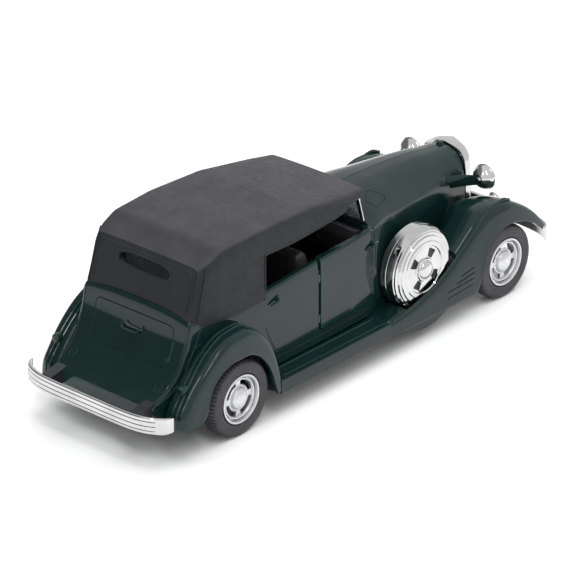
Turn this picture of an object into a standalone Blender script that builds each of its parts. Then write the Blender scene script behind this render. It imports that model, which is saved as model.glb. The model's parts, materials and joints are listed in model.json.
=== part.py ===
"""Diecast collector car: open tourer with a rigid soft top, opening front doors and pull-back drive.

Lengths below are millimetres in a working frame: x forward from the rear axle, y left, z up from the ground.
put() shifts and scales them to the final frame in metres, whose origin is under the middle of the car.
"""
import math

import bmesh
import bpy
import numpy as np
from mathutils import Matrix, Vector

MM = 0.001
SHIFT_X = -50.9
WHEELBASE = 113.5
AXLE_Z = 11.3
WALL = 1.3
GAP = 0.3
DOOR_X0 = 39.7
DOOR_X1 = 64.3
DOOR_Z0 = 15.6
HINGE_X = 39.0
HINGE_Y = 19.75
SPARE_X = 78.4
SPARE_Z = 21.6
SPARE_R = 12.4
LAMP_X = 117.3
LAMP_Y = 14.0
LAMP_Z = 33.1
BASE_Z0 = 6.2
BASE_Z1 = 8.0
PAD_Z = 5.4
SPRING_X = 7.9
SPRING_Z = 13.9
SCREW_FRONT = 96.0
SCREW_REAR = -15.5
POST_R = 2.6
SHAFT_R = 0.85
TEETH_AXLE = 12
TEETH_SPRING = 18
MODULE = 0.53
COIL_TURNS = 2.0
COIL_STEPS = 40


def clear_scene():
    for ob in list(bpy.data.objects):
        bpy.data.objects.remove(ob, do_unlink=True)


def material(name, colour, metallic=0.0, roughness=0.5):
    mat = bpy.data.materials.new(name)
    mat.use_nodes = True
    shader = mat.node_tree.nodes["Principled BSDF"]
    shader.inputs["Base Color"].default_value = (*colour, 1.0)
    shader.inputs["Metallic"].default_value = metallic
    shader.inputs["Roughness"].default_value = roughness
    return mat


def put(p):
    return Vector(((p[0] + SHIFT_X) * MM, p[1] * MM, p[2] * MM))


def mesh_object(name, verts, faces, mat):
    mesh = bpy.data.meshes.new(name)
    mesh.from_pydata([put(v) for v in verts], [], faces)
    bm = bmesh.new()
    bm.from_mesh(mesh)
    bmesh.ops.triangulate(bm, faces=bm.faces)
    bmesh.ops.recalc_face_normals(bm, faces=bm.faces)
    bm.to_mesh(mesh)
    bm.free()
    mesh.materials.append(mat)
    ob = bpy.data.objects.new(name, mesh)
    bpy.context.scene.collection.objects.link(ob)
    return ob


def loft(name, rings, mat):
    n = len(rings[0])
    verts = [p for ring in rings for p in ring]
    faces = [tuple(range(n))]
    for k in range(len(rings) - 1):
        for i in range(n):
            j = (i + 1) % n
            faces.append((k * n + i, k * n + j, (k + 1) * n + j, (k + 1) * n + i))
    faces.append(tuple(range((len(rings) - 1) * n, len(rings) * n)))
    return mesh_object(name, verts, faces, mat)


def box(name, x, y, z, mat):
    ring = [(x[0], y[0], z[0]), (x[0], y[1], z[0]), (x[0], y[1], z[1]), (x[0], y[0], z[1])]
    return loft(name, [ring, [(x[1], p[1], p[2]) for p in ring]], mat)


def prism(name, outline, axis, lo, hi, mat):
    """Outline in the two axes other than the extrusion axis, in x, y, z order."""
    def at(p, h):
        return {"x": (h, p[0], p[1]), "y": (p[0], h, p[1]), "z": (p[0], p[1], h)}[axis]
    return loft(name, [[at(p, lo) for p in outline], [at(p, hi) for p in outline]], mat)


def lathe(name, profile, centre, axis, mat, segs=40):
    """Profile of (radius, height) pairs; ends on the axis, or a closed loop when it stays off it."""
    def at(r, h, a):
        u = r * math.cos(a)
        v = r * math.sin(a)
        d = {"x": (h, u, v), "y": (u, h, v), "z": (u, v, h)}[axis]
        return tuple(c + e for c, e in zip(centre, d))
    closed = profile[0][0] > 0
    verts = []
    rows = []
    for r, h in profile:
        count = segs if r > 0 else 1
        rows.append([len(verts) + k for k in range(count)])
        verts.extend(at(r, h, 2 * math.pi * k / segs) for k in range(count))
    faces = []
    pairs = list(zip(rows, rows[1:] + rows[:1])) if closed else list(zip(rows, rows[1:]))
    for a, b in pairs:
        for k in range(segs):
            j = (k + 1) % segs
            quad = [a[k % len(a)], a[j % len(a)], b[j % len(b)], b[k % len(b)]]
            faces.append(tuple(dict.fromkeys(quad)))
    return mesh_object(name, verts, faces, mat)


def rod(name, p, q, radius, mat, segs=16):
    axis = Vector(q) - Vector(p)
    turn = axis.to_track_quat("Z", "Y").to_matrix()
    rings = []
    for end in (p, q):
        ring = [(radius * math.cos(a), radius * math.sin(a), 0.0)
                for a in (2 * math.pi * k / segs for k in range(segs))]
        rings.append([tuple(turn @ Vector(c) + Vector(end)) for c in ring])
    return loft(name, rings, mat)


def combine(target, tool, operation="DIFFERENCE"):
    mod = target.modifiers.new("cut", "BOOLEAN")
    mod.operation = operation
    mod.solver = "EXACT"
    mod.object = tool
    deps = bpy.context.evaluated_depsgraph_get()
    mesh = bpy.data.meshes.new_from_object(target.evaluated_get(deps))
    target.modifiers.remove(mod)
    bm = bmesh.new()
    bm.from_mesh(mesh)
    bmesh.ops.remove_doubles(bm, verts=bm.verts, dist=0.002 * MM)
    bmesh.ops.dissolve_limit(bm, angle_limit=math.radians(0.4), verts=bm.verts, edges=bm.edges)
    bmesh.ops.triangulate(bm, faces=bm.faces)
    bm.to_mesh(mesh)
    bm.free()
    mats = list(target.data.materials)
    target.data = mesh
    mesh.materials.clear()
    mesh.materials.append(mats[0])
    for poly in mesh.polygons:
        poly.material_index = 0
    bpy.data.objects.remove(tool, do_unlink=True)
    return target


def copy_of(ob, name):
    new = ob.copy()
    new.data = ob.data.copy()
    new.name = name
    new.data.name = name
    bpy.context.scene.collection.objects.link(new)
    return new


def mirrored(ob, name):
    new = copy_of(ob, name)
    new.data.transform(Matrix.Scale(-1, 4, (0, 1, 0)))
    new.data.flip_normals()
    return new


def pivot(ob, x, y, z):
    """Moves an object's origin onto its joint's axis."""
    at = put((x, y, z))
    ob.data.transform(Matrix.Translation(-at))
    ob.location = at


def smooth(*obs):
    for ob in obs:
        for poly in ob.data.polygons:
            poly.use_smooth = True


clear_scene()
green = material("green_enamel", (0.010, 0.042, 0.034), 0.0, 0.18)
fabric = material("top_matte", (0.07, 0.07, 0.08), 0.0, 0.75)
chrome = material("chrome_plating", (0.85, 0.85, 0.84), 1.0, 0.08)
rubber = material("tyre_rubber", (0.035, 0.034, 0.037), 0.0, 0.7)
silver = material("rim_silver", (0.6, 0.6, 0.62), 0.6, 0.35)
black = material("base_plastic", (0.015, 0.016, 0.017), 0.0, 0.5)
trim = material("interior_plastic", (0.02, 0.018, 0.018), 0.0, 0.55)
steel = material("steel", (0.5, 0.5, 0.52), 1.0, 0.3)
clear = material("clear_styrene", (0.8, 0.85, 0.86), 0.0, 0.05)
grey = material("motor_plastic", (0.55, 0.55, 0.53), 0.0, 0.5)

# ---------------------------------------------------------------- cab and hood casting
# station: x, six (half width, z) points from the sill up to the shoulder, top z at the middle
STATIONS = [
    (-27.4, 18.3, 12.6, 18.5, 13.6, 18.6, 14.6, 18.6, 15.5, 18.5, 16.2, 18.0, 16.7, 16.7),
    (-24.5, 18.9, 11.8, 19.0, 13.5, 19.1, 15.5, 19.0, 17.0, 18.9, 17.7, 18.4, 18.3, 18.3),
    (-20.7, 19.4, 11.8, 19.5, 14.2, 19.7, 17.0, 19.7, 19.0, 19.6, 20.1, 19.1, 20.9, 20.9),
    (-17.2, 19.8, 11.8, 19.9, 15.5, 20.0, 19.5, 19.9, 22.5, 19.8, 24.2, 19.3, 25.0, 25.0),
    (-14.6, 20.2, 11.8, 20.2, 16.5, 20.2, 22.0, 20.1, 26.8, 19.9, 30.0, 19.3, 30.9, 30.9),
    (-12.6, 20.3, 11.8, 20.3, 18.0, 20.3, 25.0, 20.2, 31.5, 20.0, 36.2, 19.4, 37.2, 38.6),
    (-8.6, 20.4, 11.8, 20.5, 18.0, 20.5, 25.0, 20.4, 31.5, 20.2, 35.8, 19.8, 36.6, 38.6),
    (1.0, 20.5, 11.8, 20.6, 18.0, 20.6, 25.0, 20.5, 31.0, 20.3, 34.4, 19.9, 35.1, 36.0),
    (16.6, 20.5, 11.8, 20.5, 18.0, 20.5, 25.0, 20.5, 31.5, 20.3, 35.2, 19.9, 35.8, 36.0),
    (39.0, 20.3, 11.8, 20.3, 18.0, 20.3, 25.0, 20.3, 32.5, 20.1, 36.6, 19.7, 37.3, 37.4),
    (56.0, 19.9, 11.8, 19.9, 18.0, 19.8, 25.0, 19.6, 33.0, 19.2, 37.0, 18.7, 37.8, 38.0),
    (62.6, 19.6, 11.8, 19.6, 18.0, 19.4, 25.0, 19.1, 33.0, 18.5, 37.3, 17.9, 38.2, 38.5),
    (62.9, 19.6, 11.8, 19.6, 18.0, 19.4, 25.0, 19.1, 33.0, 18.3, 37.3, 16.8, 39.2, 43.7),
    (68.5, 18.4, 12.2, 18.4, 18.0, 18.1, 25.0, 17.7, 33.0, 16.9, 37.4, 15.4, 39.8, 44.2),
    (76.0, 16.4, 13.0, 16.5, 18.0, 16.3, 25.0, 15.9, 32.5, 15.1, 36.6, 13.6, 39.4, 44.3),
    (84.0, 14.5, 13.4, 14.6, 18.0, 14.6, 25.0, 14.3, 32.0, 13.5, 35.7, 12.0, 38.5, 44.0),
    (92.0, 12.7, 13.6, 12.9, 18.0, 12.9, 25.0, 12.7, 31.2, 12.0, 34.8, 10.6, 37.7, 43.5),
    (101.0, 10.8, 13.8, 11.0, 18.0, 11.1, 25.0, 11.0, 30.6, 10.4, 34.2, 9.1, 37.1, 42.6),
    (109.0, 9.2, 14.0, 9.4, 18.0, 9.6, 25.0, 9.5, 30.2, 9.0, 33.8, 7.8, 36.8, 41.3),
    (116.2, 7.9, 14.4, 8.1, 18.0, 8.4, 25.0, 8.4, 30.0, 8.0, 33.6, 6.9, 36.4, 40.3),
]
COWL = 12


def body_ring(station, inset, sink, crowned):
    x = station[0]
    half = [(station[1 + 2 * k] - inset, station[2 + 2 * k]) for k in range(6)]
    top = station[13]
    w, z = half[5]
    rise = top - z
    for f in ((0.82, 0.42), (0.6, 0.72), (0.3, 0.94)):
        half.append((w * f[0], z + rise * f[1]))
    half = [(y, zz - (inset if k > 2 else 0.0)) for k, (y, zz) in enumerate(half)]
    half[0] = (half[0][0], half[0][1] - sink)
    ring = [(x, -y, z) for y, z in half] + [(x, 0.0, top - inset)]
    return ring + [(x, y, z) for y, z in reversed(half)]


def body_solid(name, inset=0.0, sink=0.0, first=0, last=len(STATIONS), mat=green):
    return loft(name, [body_ring(s, inset, sink, k >= COWL) for k, s in enumerate(STATIONS)][first:last], mat)


def trimmed_core():
    """The space inside the casting: a smaller copy, its ends drawn in by the wall thickness."""
    rings = []
    for s in STATIONS:
        x = s[0] + (WALL + 0.9 if s[0] < -12 else 0.0)
        x = min(x, STATIONS[-1][0] - WALL)
        rings.append([(x, p[1], p[2]) for p in body_ring(s, WALL, 6.0, True)])
    return loft("core", rings, green)


def door_outline(grow=0.0):
    """Side view of the front door, its lower front corner rounded."""
    x0 = DOOR_X0 - grow
    x1 = DOOR_X1 + grow
    z0 = DOOR_Z0 - grow
    pts = [(x0, 46.0), (x0, z0 + 0.6), (x0 + 0.6, z0), (x1 - 3.0, z0 + 0.5)]
    pts += [(x1 - 1.3, z0 + 1.0), (x1 - 0.4, z0 + 2.2), (x1, z0 + 4.2), (x1, 46.0)]
    return pts


body = body_solid("body_shell")
body_clear = body_solid("body_clear", inset=-0.25)
combine(body, trimmed_core())
# cockpit opening through the deck, ahead of the rear bulkhead
cockpit = [(-9.4, -18.5), (38.0, -18.8), (56.0, -18.2), (61.6, -17.3)]
cockpit += [(x, -y) for x, y in reversed(cockpit)]
combine(body, prism("cockpit", cockpit, "z", 30.0, 60.0, green))

# screw posts are cast with the body
for px, post_top in ((SCREW_FRONT, 42.4), (SCREW_REAR, 26.0)):
    combine(body, rod("post", (px, 0, 9.0), (px, 0, post_top), POST_R, green, 20), "UNION")
for px in (SCREW_FRONT, SCREW_REAR):
    combine(body, rod("bore", (px, 0, 5.0), (px, 0, 20.0), 1.05, green, 16))
for side in (-1, 1):
    # front door openings with the hinge gap behind them
    hole = prism("hole", door_outline(GAP), "y", side * 17.6, side * 24.0, green)
    combine(body, hole)
    slot = box("slot", (38.35, DOOR_X0 + 0.4), sorted((side * 17.0, side * 24.0)), (DOOR_Z0, 46.0), green)
    combine(body, slot)
    socket = rod("socket", (HINGE_X, side * HINGE_Y, 12.8), (HINGE_X, side * HINGE_Y, 17.0), 0.42, green, 12)
    combine(body, socket)

# rear axle slots and the shallow recess of the luggage lid handle
combine(body, rod("axle_gap", (0, -30, AXLE_Z), (0, 30, AXLE_Z), 1.6, green, 16))
combine(body, box("grip", (-18.2, -14.3), (-3.4, 3.4), (29.3, 31.7), green))

# ---------------------------------------------------------------- doors
door_skin = body_solid("door_skin", first=9, last=14)
combine(door_skin, body_solid("door_core", inset=WALL, sink=6.0, first=9, last=14))
combine(door_skin, prism("door_cut", door_outline(), "y", -18.0, -24.0, green), "INTERSECT")
door_skin.name = "door_front_right"
grab = prism("grab", [(60.2, 32.6), (60.4, 31.8), (63.6, 32.7), (63.6, 33.5)], "y", -19.0, -20.2, green)
combine(door_skin, grab, "UNION")
for z0 in (18.0, 30.5):
    lug = box("lug", (HINGE_X, DOOR_X0 + 0.5), (-HINGE_Y - 0.3, -HINGE_Y + 0.5), (z0, z0 + 2.4), green)
    combine(door_skin, lug, "UNION")
    knuckle = rod("knuckle", (HINGE_X, -HINGE_Y, z0), (HINGE_X, -HINGE_Y, z0 + 2.4), 0.62, green, 16)
    combine(door_skin, knuckle, "UNION")
combine(door_skin, rod("pin_hole", (HINGE_X, -HINGE_Y, 10), (HINGE_X, -HINGE_Y, 40), 0.38, green, 16))
door_left = mirrored(door_skin, "door_front_left")
pin_r = rod("hinge_pin_right", (HINGE_X, -HINGE_Y, 13.2), (HINGE_X, -HINGE_Y, 34.2), 0.25, steel, 12)
mirrored(pin_r, "hinge_pin_left")

# ---------------------------------------------------------------- fenders and running boards
REAR_FENDER = [
    (-24.6, 10.9, -17.4, 10.3), (-24.3, 14.0, -16.0, 11.2), (-21.8, 18.1, -14.5, 13.6),
    (-17.8, 22.9, -13.5, 17.0), (-14.0, 26.3, -11.7, 20.4), (-9.6, 29.5, -8.3, 23.0),
    (-4.0, 31.9, -3.0, 24.5), (1.5, 32.2, 2.0, 24.4),
    (6.3, 30.3, 6.3, 22.4), (10.4, 26.6, 9.3, 19.0), (13.2, 21.6, 11.2, 15.6), (15.0, 15.8, 12.6, 11.6),
    (16.2, 9.3, 14.0, 7.7),
]
FRONT_FENDER = [
    (60.0, 11.4, 60.2, 7.3), (70.0, 12.9, 70.5, 7.0), (78.0, 15.2, 80.0, 6.9), (85.5, 18.6, 88.0, 6.9),
    (91.5, 22.6, 94.0, 6.9), (96.5, 26.2, 98.8, 6.9), (100.2, 28.7, 100.9, 9.6),
    (104.0, 30.4, 101.9, 13.7), (108.0, 31.0, 103.8, 17.8), (112.0, 30.8, 107.9, 21.9),
    (116.0, 29.7, 113.5, 23.6), (120.0, 27.7, 118.5, 22.9), (123.6, 25.3, 122.0, 21.6),
    (126.9, 22.3, 124.9, 19.9), (128.8, 20.1, 127.0, 18.1), (130.1, 18.3, 128.7, 16.7),
]
FENDER_ROOT_X = (60.0, 78.0, 92.0, 104.0, 110.0, 116.0, 120.0, 132.0)
FENDER_ROOT_Y = (19.2, 15.9, 12.3, 10.0, 10.4, 14.2, 16.3, 17.5)
FENDER_DROP_X = (60.0, 84.0, 100.0, 118.0)
FENDER_DROP = (0.02, 0.1, 0.2, 0.14)


def fender_ring(row, outer, thick, root):
    """Section of a fender: outer skin from the root over the crown to the rim, then back inside."""
    ox, oz, ax, az = row
    length = math.hypot(ox - ax, oz - az)
    t = thick / length
    skin = [(root, outer[0]), (outer[1], outer[2]), (22.9, 1.0), (25.0, 0.98), (26.6, 0.9), (27.4, 0.72),
            (27.6, 0.4), (27.6, 0.0)]
    lining = [(26.35, 0.0), (26.35, 0.4), (26.1, 0.72 - t * 0.4), (24.8, 0.96 - t), (22.7, 0.98 - t),
              (outer[1], outer[2] - t), (root, outer[0] - t)]
    ring = []
    for y, f in skin + lining:
        ring.append((ax + (ox - ax) * f, -y, az + (oz - az) * f))
    return ring


rear = loft("fender_right", [fender_ring(r, (0.86, 21.0, 0.97), 1.2, 19.0) for r in REAR_FENDER], green)
front_rings = []
for row in FRONT_FENDER:
    inner = float(np.interp(row[0], FENDER_ROOT_X, FENDER_ROOT_Y))
    mid = (inner + 22.9) / 2
    drop = float(np.interp(row[0], FENDER_DROP_X, FENDER_DROP))
    front_rings.append(fender_ring(row, (1.0 - drop * 2.2, mid, 1.0 - drop * 0.5), 1.3, inner))
front = loft("front", front_rings, green)
board_profile = [(-19.0, 11.3), (-27.0, 11.5), (-27.6, 10.9), (-27.6, 7.2), (-26.3, 7.2), (-26.3, 10.1),
                 (-19.0, 10.1)]
board = prism("board", board_profile, "x", 15.2, 61.5, green)
combine(rear, board, "UNION")
combine(rear, front, "UNION")
combine(rear, copy_of(body_clear, "clear_a"))
well = lathe("well", [(0, -26.2), (SPARE_R + 0.5, -26.2), (SPARE_R + 0.5, -17.4), (0, -17.4)],
             (SPARE_X, 0, SPARE_Z), "y", green, 40)
combine(rear, well)
mirrored(rear, "fender_left")
arm_rings = ([], [])
for k in range(12):
    a = 2 * math.pi * k / 12
    c = math.cos(a)
    d = math.sin(a)
    arm_rings[0].append((107.4 + 3.2 * c, -8.4, 32.6 + 1.7 * d))
    arm_rings[1].append((113.3 + c, -LAMP_Y + 0.5 - 0.8 * c, 33.0 + 1.1 * d))
arm_right = loft("headlight_arm_right", arm_rings, green)
combine(arm_right, copy_of(body_clear, "arm_clear"))
mirrored(arm_right, "headlight_arm_left")

# ---------------------------------------------------------------- soft top
# rib: (x, z) of the lower edge, (x, half width, z) of the shoulder, crown height at the middle
TOP_RIBS = [
    (-13.4, 19.0, 35.6, -8.7, 18.3, 51.4, 0.3),
    (-10.6, 20.3, 35.2, -5.8, 19.5, 52.6, 0.3),
    (-4.0, 20.7, 34.2, -0.8, 19.9, 54.7, 0.4),
    (4.0, 20.7, 33.4, 14.0, 20.5, 55.1, 0.5),
    (17.4, 20.7, 33.8, 33.3, 19.7, 54.8, 0.5),
    (39.0, 20.4, 37.0, 52.0, 18.1, 52.2, 0.5),
    (60.4, 18.4, 39.0, 60.6, 17.0, 50.8, 0.4),
]


def top_ring(rib, inset, sink):
    bx, by, bz, tx, ty, tz, crown = rib
    half = []
    bz = bz - sink
    for f, g in ((0.0, 0.0), (0.45, 0.12), (0.82, 0.2), (0.93, 0.55), (0.985, 0.95)):
        y = by + (ty - by) * g - inset
        half.append((bx + (tx - bx) * f, y, bz + (tz - bz) * f))
    half.append((tx, ty - 1.0 - inset, tz + 0.02))
    half.append((tx, ty * 0.55, tz + crown * 0.75))
    half = [(x, y, z - (inset if k > 0 else 0.0)) for k, (x, y, z) in enumerate(half)]
    ring = [(x, -y, z) for x, y, z in half] + [(tx, 0.0, tz + crown - inset)]
    return ring + [(x, y, z) for x, y, z in reversed(half)]


top = loft("soft_top", [top_ring(r, 0.0, 0.0) for r in TOP_RIBS], fabric)
core_rings = [top_ring(r, WALL, 5.0) for r in TOP_RIBS]
core_rings[0] = [(p[0] + 1.6, p[1], p[2]) for p in core_rings[0]]
core_rings[-1] = [(p[0] - 1.6, p[1], p[2]) for p in core_rings[-1]]
combine(top, loft("top_core", core_rings, fabric))
combine(top, body_solid("top_clear", inset=-0.25))
window = [(16.6, 30.0), (16.6, 47.0), (28.0, 46.6), (40.0, 47.0), (50.8, 47.8), (54.0, 49.0), (66.0, 48.9),
          (66.0, 30.0)]
combine(top, prism("window", window, "y", -26.0, 26.0, fabric))
lens = []
for k in range(24):
    a = 2 * math.pi * (k + 0.5) / 24
    c = math.cos(a)
    d = math.sin(a)
    lens.append((math.copysign(abs(c) ** 0.45, c) * 9.4, 46.9 + math.copysign(abs(d) ** 0.8, d) * 2.1))
combine(top, prism("lens", lens, "x", -16.0, -5.0, fabric))
pane_ring = [(-11.0 + (z - 38.5) * 0.333 + 1.45, y * 1.13, 46.9 + (z - 46.9) * 1.4) for y, z in lens]
loft("rear_window", [pane_ring, [(x + 0.7, y, z) for x, y, z in pane_ring]], clear)

# ---------------------------------------------------------------- windshield
def raked(y0, y1, z0, z1, depth, x_base=61.7, lean=0.28):
    """Rings of a slab that leans back with height, as the windshield does."""
    rings = []
    for z in (z0, z1):
        x = x_base - (z - 39.4) * lean
        rings.append([(x, y0, z), (x + depth, y0, z), (x + depth, y1, z), (x, y1, z)])
    return rings


shield = loft("windshield_frame", raked(-16.6, 16.6, 38.9, 48.6, 0.8), chrome)
combine(shield, loft("light", raked(-15.5, 15.5, 40.0, 47.6, 3.0, 60.7), chrome))
loft("windshield_glass", raked(-15.2, 15.2, 40.3, 47.3, 0.3, 61.95), clear)

# ---------------------------------------------------------------- interior
tub = box("interior_floor", (16.4, 61.0), (-17.6, 17.6), (12.6, 13.6), trim)
rise = [(-8.6, 21.0), (15.6, 21.0), (15.6, 12.6), (17.0, 12.6), (17.0, 22.0), (-8.6, 22.0)]
combine(tub, prism("rise", rise, "y", -17.6, 17.6, trim), "UNION")


def seat_outline(x, z, back, height):
    """Side view of a bench: cushion of the given depth, back leaning to the rear."""
    return [(x - 2.0, z), (x + 12.0, z), (x + 13.0, z + 4.5), (x + 12.0, z + 6.0), (x + 3.5, z + 5.4),
            (x + 0.6, z + height - 1.2), (x - 0.6, z + height), (x - back, z + height - 0.6),
            (x - back, z + 5)]


prism("front_seat", seat_outline(38.0, 13.9, 3.4, 25.2), "y", -15.6, 15.6, trim)
prism("rear_seat", seat_outline(-3.2, 22.3, 3.6, 14.6), "y", -16.6, 16.6, trim)
dash = prism("dashboard", [(57.6, 30.0), (60.9, 29.4), (60.9, 37.6), (58.4, 38.0), (57.2, 35.6)], "y",
             -16.4, 16.4, trim)
KNOB = [(0, 0), (1.5, 0), (1.5, -0.7), (1.0, -0.9), (0, -0.9)]
knob = lathe("knob", KNOB, (57.9, -4.5, 34.0), "x", trim, 16)
combine(dash, knob, "UNION")
combine(dash, rod("col_hole", (50.0, 8.5, 37.2), (66.0, 8.5, 26.4), 1.15, trim, 16))
wheel_ring = []
for k in range(6):
    a = 2 * math.pi * k / 6
    wheel_ring.append((5.3 + 0.5 * math.cos(a), 0.5 * math.sin(a)))
hoop = lathe("steering_wheel", wheel_ring, (0, 0, 0), "z", black, 20)
hub = lathe("hub", [(0, -1.2), (1.3, -1.2), (1.1, 0.3), (0, 0.5)], (0, 0, 0), "z", black, 16)
for k in range(3):
    a = math.pi / 2 + 2 * math.pi * k / 3
    c = math.cos(a)
    d = math.sin(a)
    combine(hub, rod("spoke", (0.7 * c, 0.7 * d, -0.35), (5.3 * c, 5.3 * d, 0.0), 0.35, black, 8), "UNION")
combine(hoop, hub, "UNION")
combine(hoop, rod("bore", (0, 0, -3.0), (0, 0, -0.5), 0.75, black, 12))
tilt = math.radians(-56.0)
to_hub = Matrix.Translation(put((50.6, 8.5, 36.8))) @ Matrix.Rotation(tilt, 4, "Y")
hoop.data.transform(to_hub @ Matrix.Translation((-SHIFT_X * MM, 0, 0)))
axis_dir = Matrix.Rotation(tilt, 3, "Y") @ Vector((0, 0, -1))
col_a = Vector((50.6, 8.5, 36.8)) + axis_dir * 0.75
col_b = col_a + axis_dir * 13.0
rod("steering_column", tuple(col_a), tuple(col_b), 0.5, black, 12)

# ---------------------------------------------------------------- radiator and headlamps
RAD_HALF = [(7.4, 17.0), (8.1, 19.0), (8.5, 25.0), (8.5, 31.0), (8.2, 35.0), (7.5, 37.6), (5.8, 39.6),
            (3.2, 40.4)]


def radiator_ring(x, inset, prow):
    half = [(y - inset, z - (inset if z > 30 else -inset if z < 18 else 0)) for y, z in RAD_HALF]
    pts = [(-y, z) for y, z in half] + [(0.0, 40.9 - inset)] + [(y, z) for y, z in reversed(half)]
    pts.append((0.0, 17.0 + inset))
    return [(x + prow * (1.0 - abs(y) / 8.5), y, z) for y, z in pts]


shell = loft("radiator_shell", [radiator_ring(x, i, p) for x, i, p in
                                ((116.5, 0.0, 0.0), (118.4, 0.0, 1.6), (119.0, 0.3, 2.2))], chrome)
combine(shell, loft("recess", [radiator_ring(118.2, 1.5, 2.2), radiator_ring(123.0, 1.5, 2.2)], chrome))
grille = loft("radiator_grille", [radiator_ring(118.35, 1.8, 2.2), radiator_ring(118.9, 1.8, 2.2)], chrome)
for k in range(-4, 5):
    y = k * 1.4
    x = 118.8 + 2.2 * (1.0 - abs(y) / 8.5)
    lo = 19.0
    hi = 37.7 - 0.16 * k * k
    combine(grille, box("bar", (x - 0.4, x + 0.35), (y - 0.22, y + 0.22), (lo, hi), chrome), "UNION")
cap = lathe("radiator_cap", [(0, 0.0), (1.1, 0.0), (1.1, 0.35), (0.95, 0.75), (0.7, 1.0), (0, 1.15)],
            (114.6, 0, 40.35), "z", green, 16)
combine(cap, copy_of(body_clear, "cap_clear"))

BELL = [(0, -2.5), (0.9, -2.4), (1.8, -1.9), (3.0, -0.95), (3.65, 0.4), (3.9, 0.9), (3.9, 1.4), (3.4, 1.4),
        (3.15, 0.4), (2.0, -0.9), (0, -1.4)]
LENS = [(0, 0.3), (2.9, 0.3), (3.0, 1.1), (2.1, 1.8), (0, 2.1)]
for side, tag in ((-1, "right"), (1, "left")):
    centre = (LAMP_X, side * LAMP_Y, LAMP_Z)
    lathe("headlight_bell_" + tag, BELL, centre, "x", chrome, 20)
    lathe("headlight_lens_" + tag, LENS, centre, "x", clear, 16)

# ---------------------------------------------------------------- bumpers and their irons
BUMPER = [(-2.5, 0.0), (-2.2, 0.55), (-1.5, 0.68), (-1.36, 0.25), (-1.22, 0.7), (-0.14, 0.75), (0.0, 0.3),
          (0.14, 0.75), (1.22, 0.7), (1.36, 0.25), (1.5, 0.68), (2.2, 0.55), (2.5, 0.0), (2.3, -0.6),
          (-2.3, -0.6)]
BUMPER_HALF = 26.6
REAR_IRON = [(-33.0, 14.8), (-28.4, 13.0), (-24.9, 10.2), (-20.0, 10.2), (-20.0, 9.0), (-26.0, 9.0),
             (-28.6, 10.6), (-33.0, 12.8)]
FRONT_IRON = [(134.8, 14.8), (129.0, 14.6), (124.0, 11.0), (118.0, 10.2), (118.0, 9.0), (124.6, 9.0),
              (130.0, 12.6), (134.8, 12.8)]
HORN = [(0, -5.0), (0.7, -5.0), (0.8, 2.2), (1.5, 4.4), (2.3, 5.4), (1.8, 5.6), (0.8, 3.6), (0, 3.4)]
BUMPER_STEPS = (0.0, 0.3, 0.5, 0.65, 0.75, 0.84, 0.92, 0.97, 1.0)


def bumper(name, end_x, bulge, z_mid, sign):
    """Bowed bar with a flat middle: sign is the direction it faces along x."""
    rings = []
    for u in [-v for v in BUMPER_STEPS[:0:-1]] + list(BUMPER_STEPS):
        past = max(0.0, (abs(u) - 0.95) / 0.05)
        x = end_x + sign * bulge * (1 - abs(u) ** 6) - sign * 0.8 * past ** 2
        scale = 1.0 - 0.14 * past ** 2
        rings.append([(x + sign * d * scale, BUMPER_HALF * u, z_mid + h * scale) for h, d in BUMPER])
    return loft(name, rings, chrome)


rear_bumper = bumper("rear_bumper", -28.6, 5.0, 14.4, -1)
front_bumper = bumper("front_bumper", 131.8, 3.6, 14.0, 1)
for side, tag in ((-1, "right"), (1, "left")):
    y = sorted((side * 14.8, side * 17.4))
    iron = prism("iron", REAR_IRON, "y", y[0], y[1], chrome)
    combine(rear_bumper, iron, "UNION")
    y = sorted((side * 12.2, side * 14.4))
    iron = prism("iron", FRONT_IRON, "y", y[0], y[1], chrome)
    combine(front_bumper, iron, "UNION")
    lathe("horn_" + tag, HORN, (121.4, side * 10.6, 21.6), "x", chrome, 14)

# ---------------------------------------------------------------- side-mounted spares
SPARE_TYRE = [(8.0, -21.6), (8.0, -18.6), (10.6, -18.0), (11.6, -18.6), (12.0, -19.6), (12.0, -22.0),
              (11.6, -22.7), (10.9, -22.9)]
SPARE_COVER = [(0, -26.3), (1.7, -26.05), (2.7, -25.3), (3.5, -24.7), (7.0, -24.5), (7.5, -24.9),
               (8.6, -24.8), (10.2, -24.4), (11.2, -23.95), (11.9, -23.1), (12.35, -22.3), (SPARE_R, -19.4),
               (12.15, -19.4), (12.1, -22.2), (11.6, -23.1), (0, -23.2)]
tyre_r = lathe("spare_tyre_right", SPARE_TYRE, (SPARE_X, 0, SPARE_Z), "y", rubber, 24)
cover_r = lathe("spare_cover_right", SPARE_COVER, (SPARE_X, 0, SPARE_Z), "y", chrome, 24)
for k in range(4):
    a = math.radians(34 + 90 * k)
    cut = box("cut", (-SHIFT_X - 1.3, -SHIFT_X + 1.3), (-25.6, -23.7), (3.8, 6.3), chrome)
    cut.data.transform(Matrix.Rotation(a, 4, "Y"))
    cut.data.transform(Matrix.Translation(put((SPARE_X, 0, SPARE_Z))))
    combine(cover_r, cut)
combine(tyre_r, copy_of(bpy.data.objects["body_shell"], "spare_clear"))
mirrored(tyre_r, "spare_tyre_left")
mirrored(cover_r, "spare_cover_left")

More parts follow.
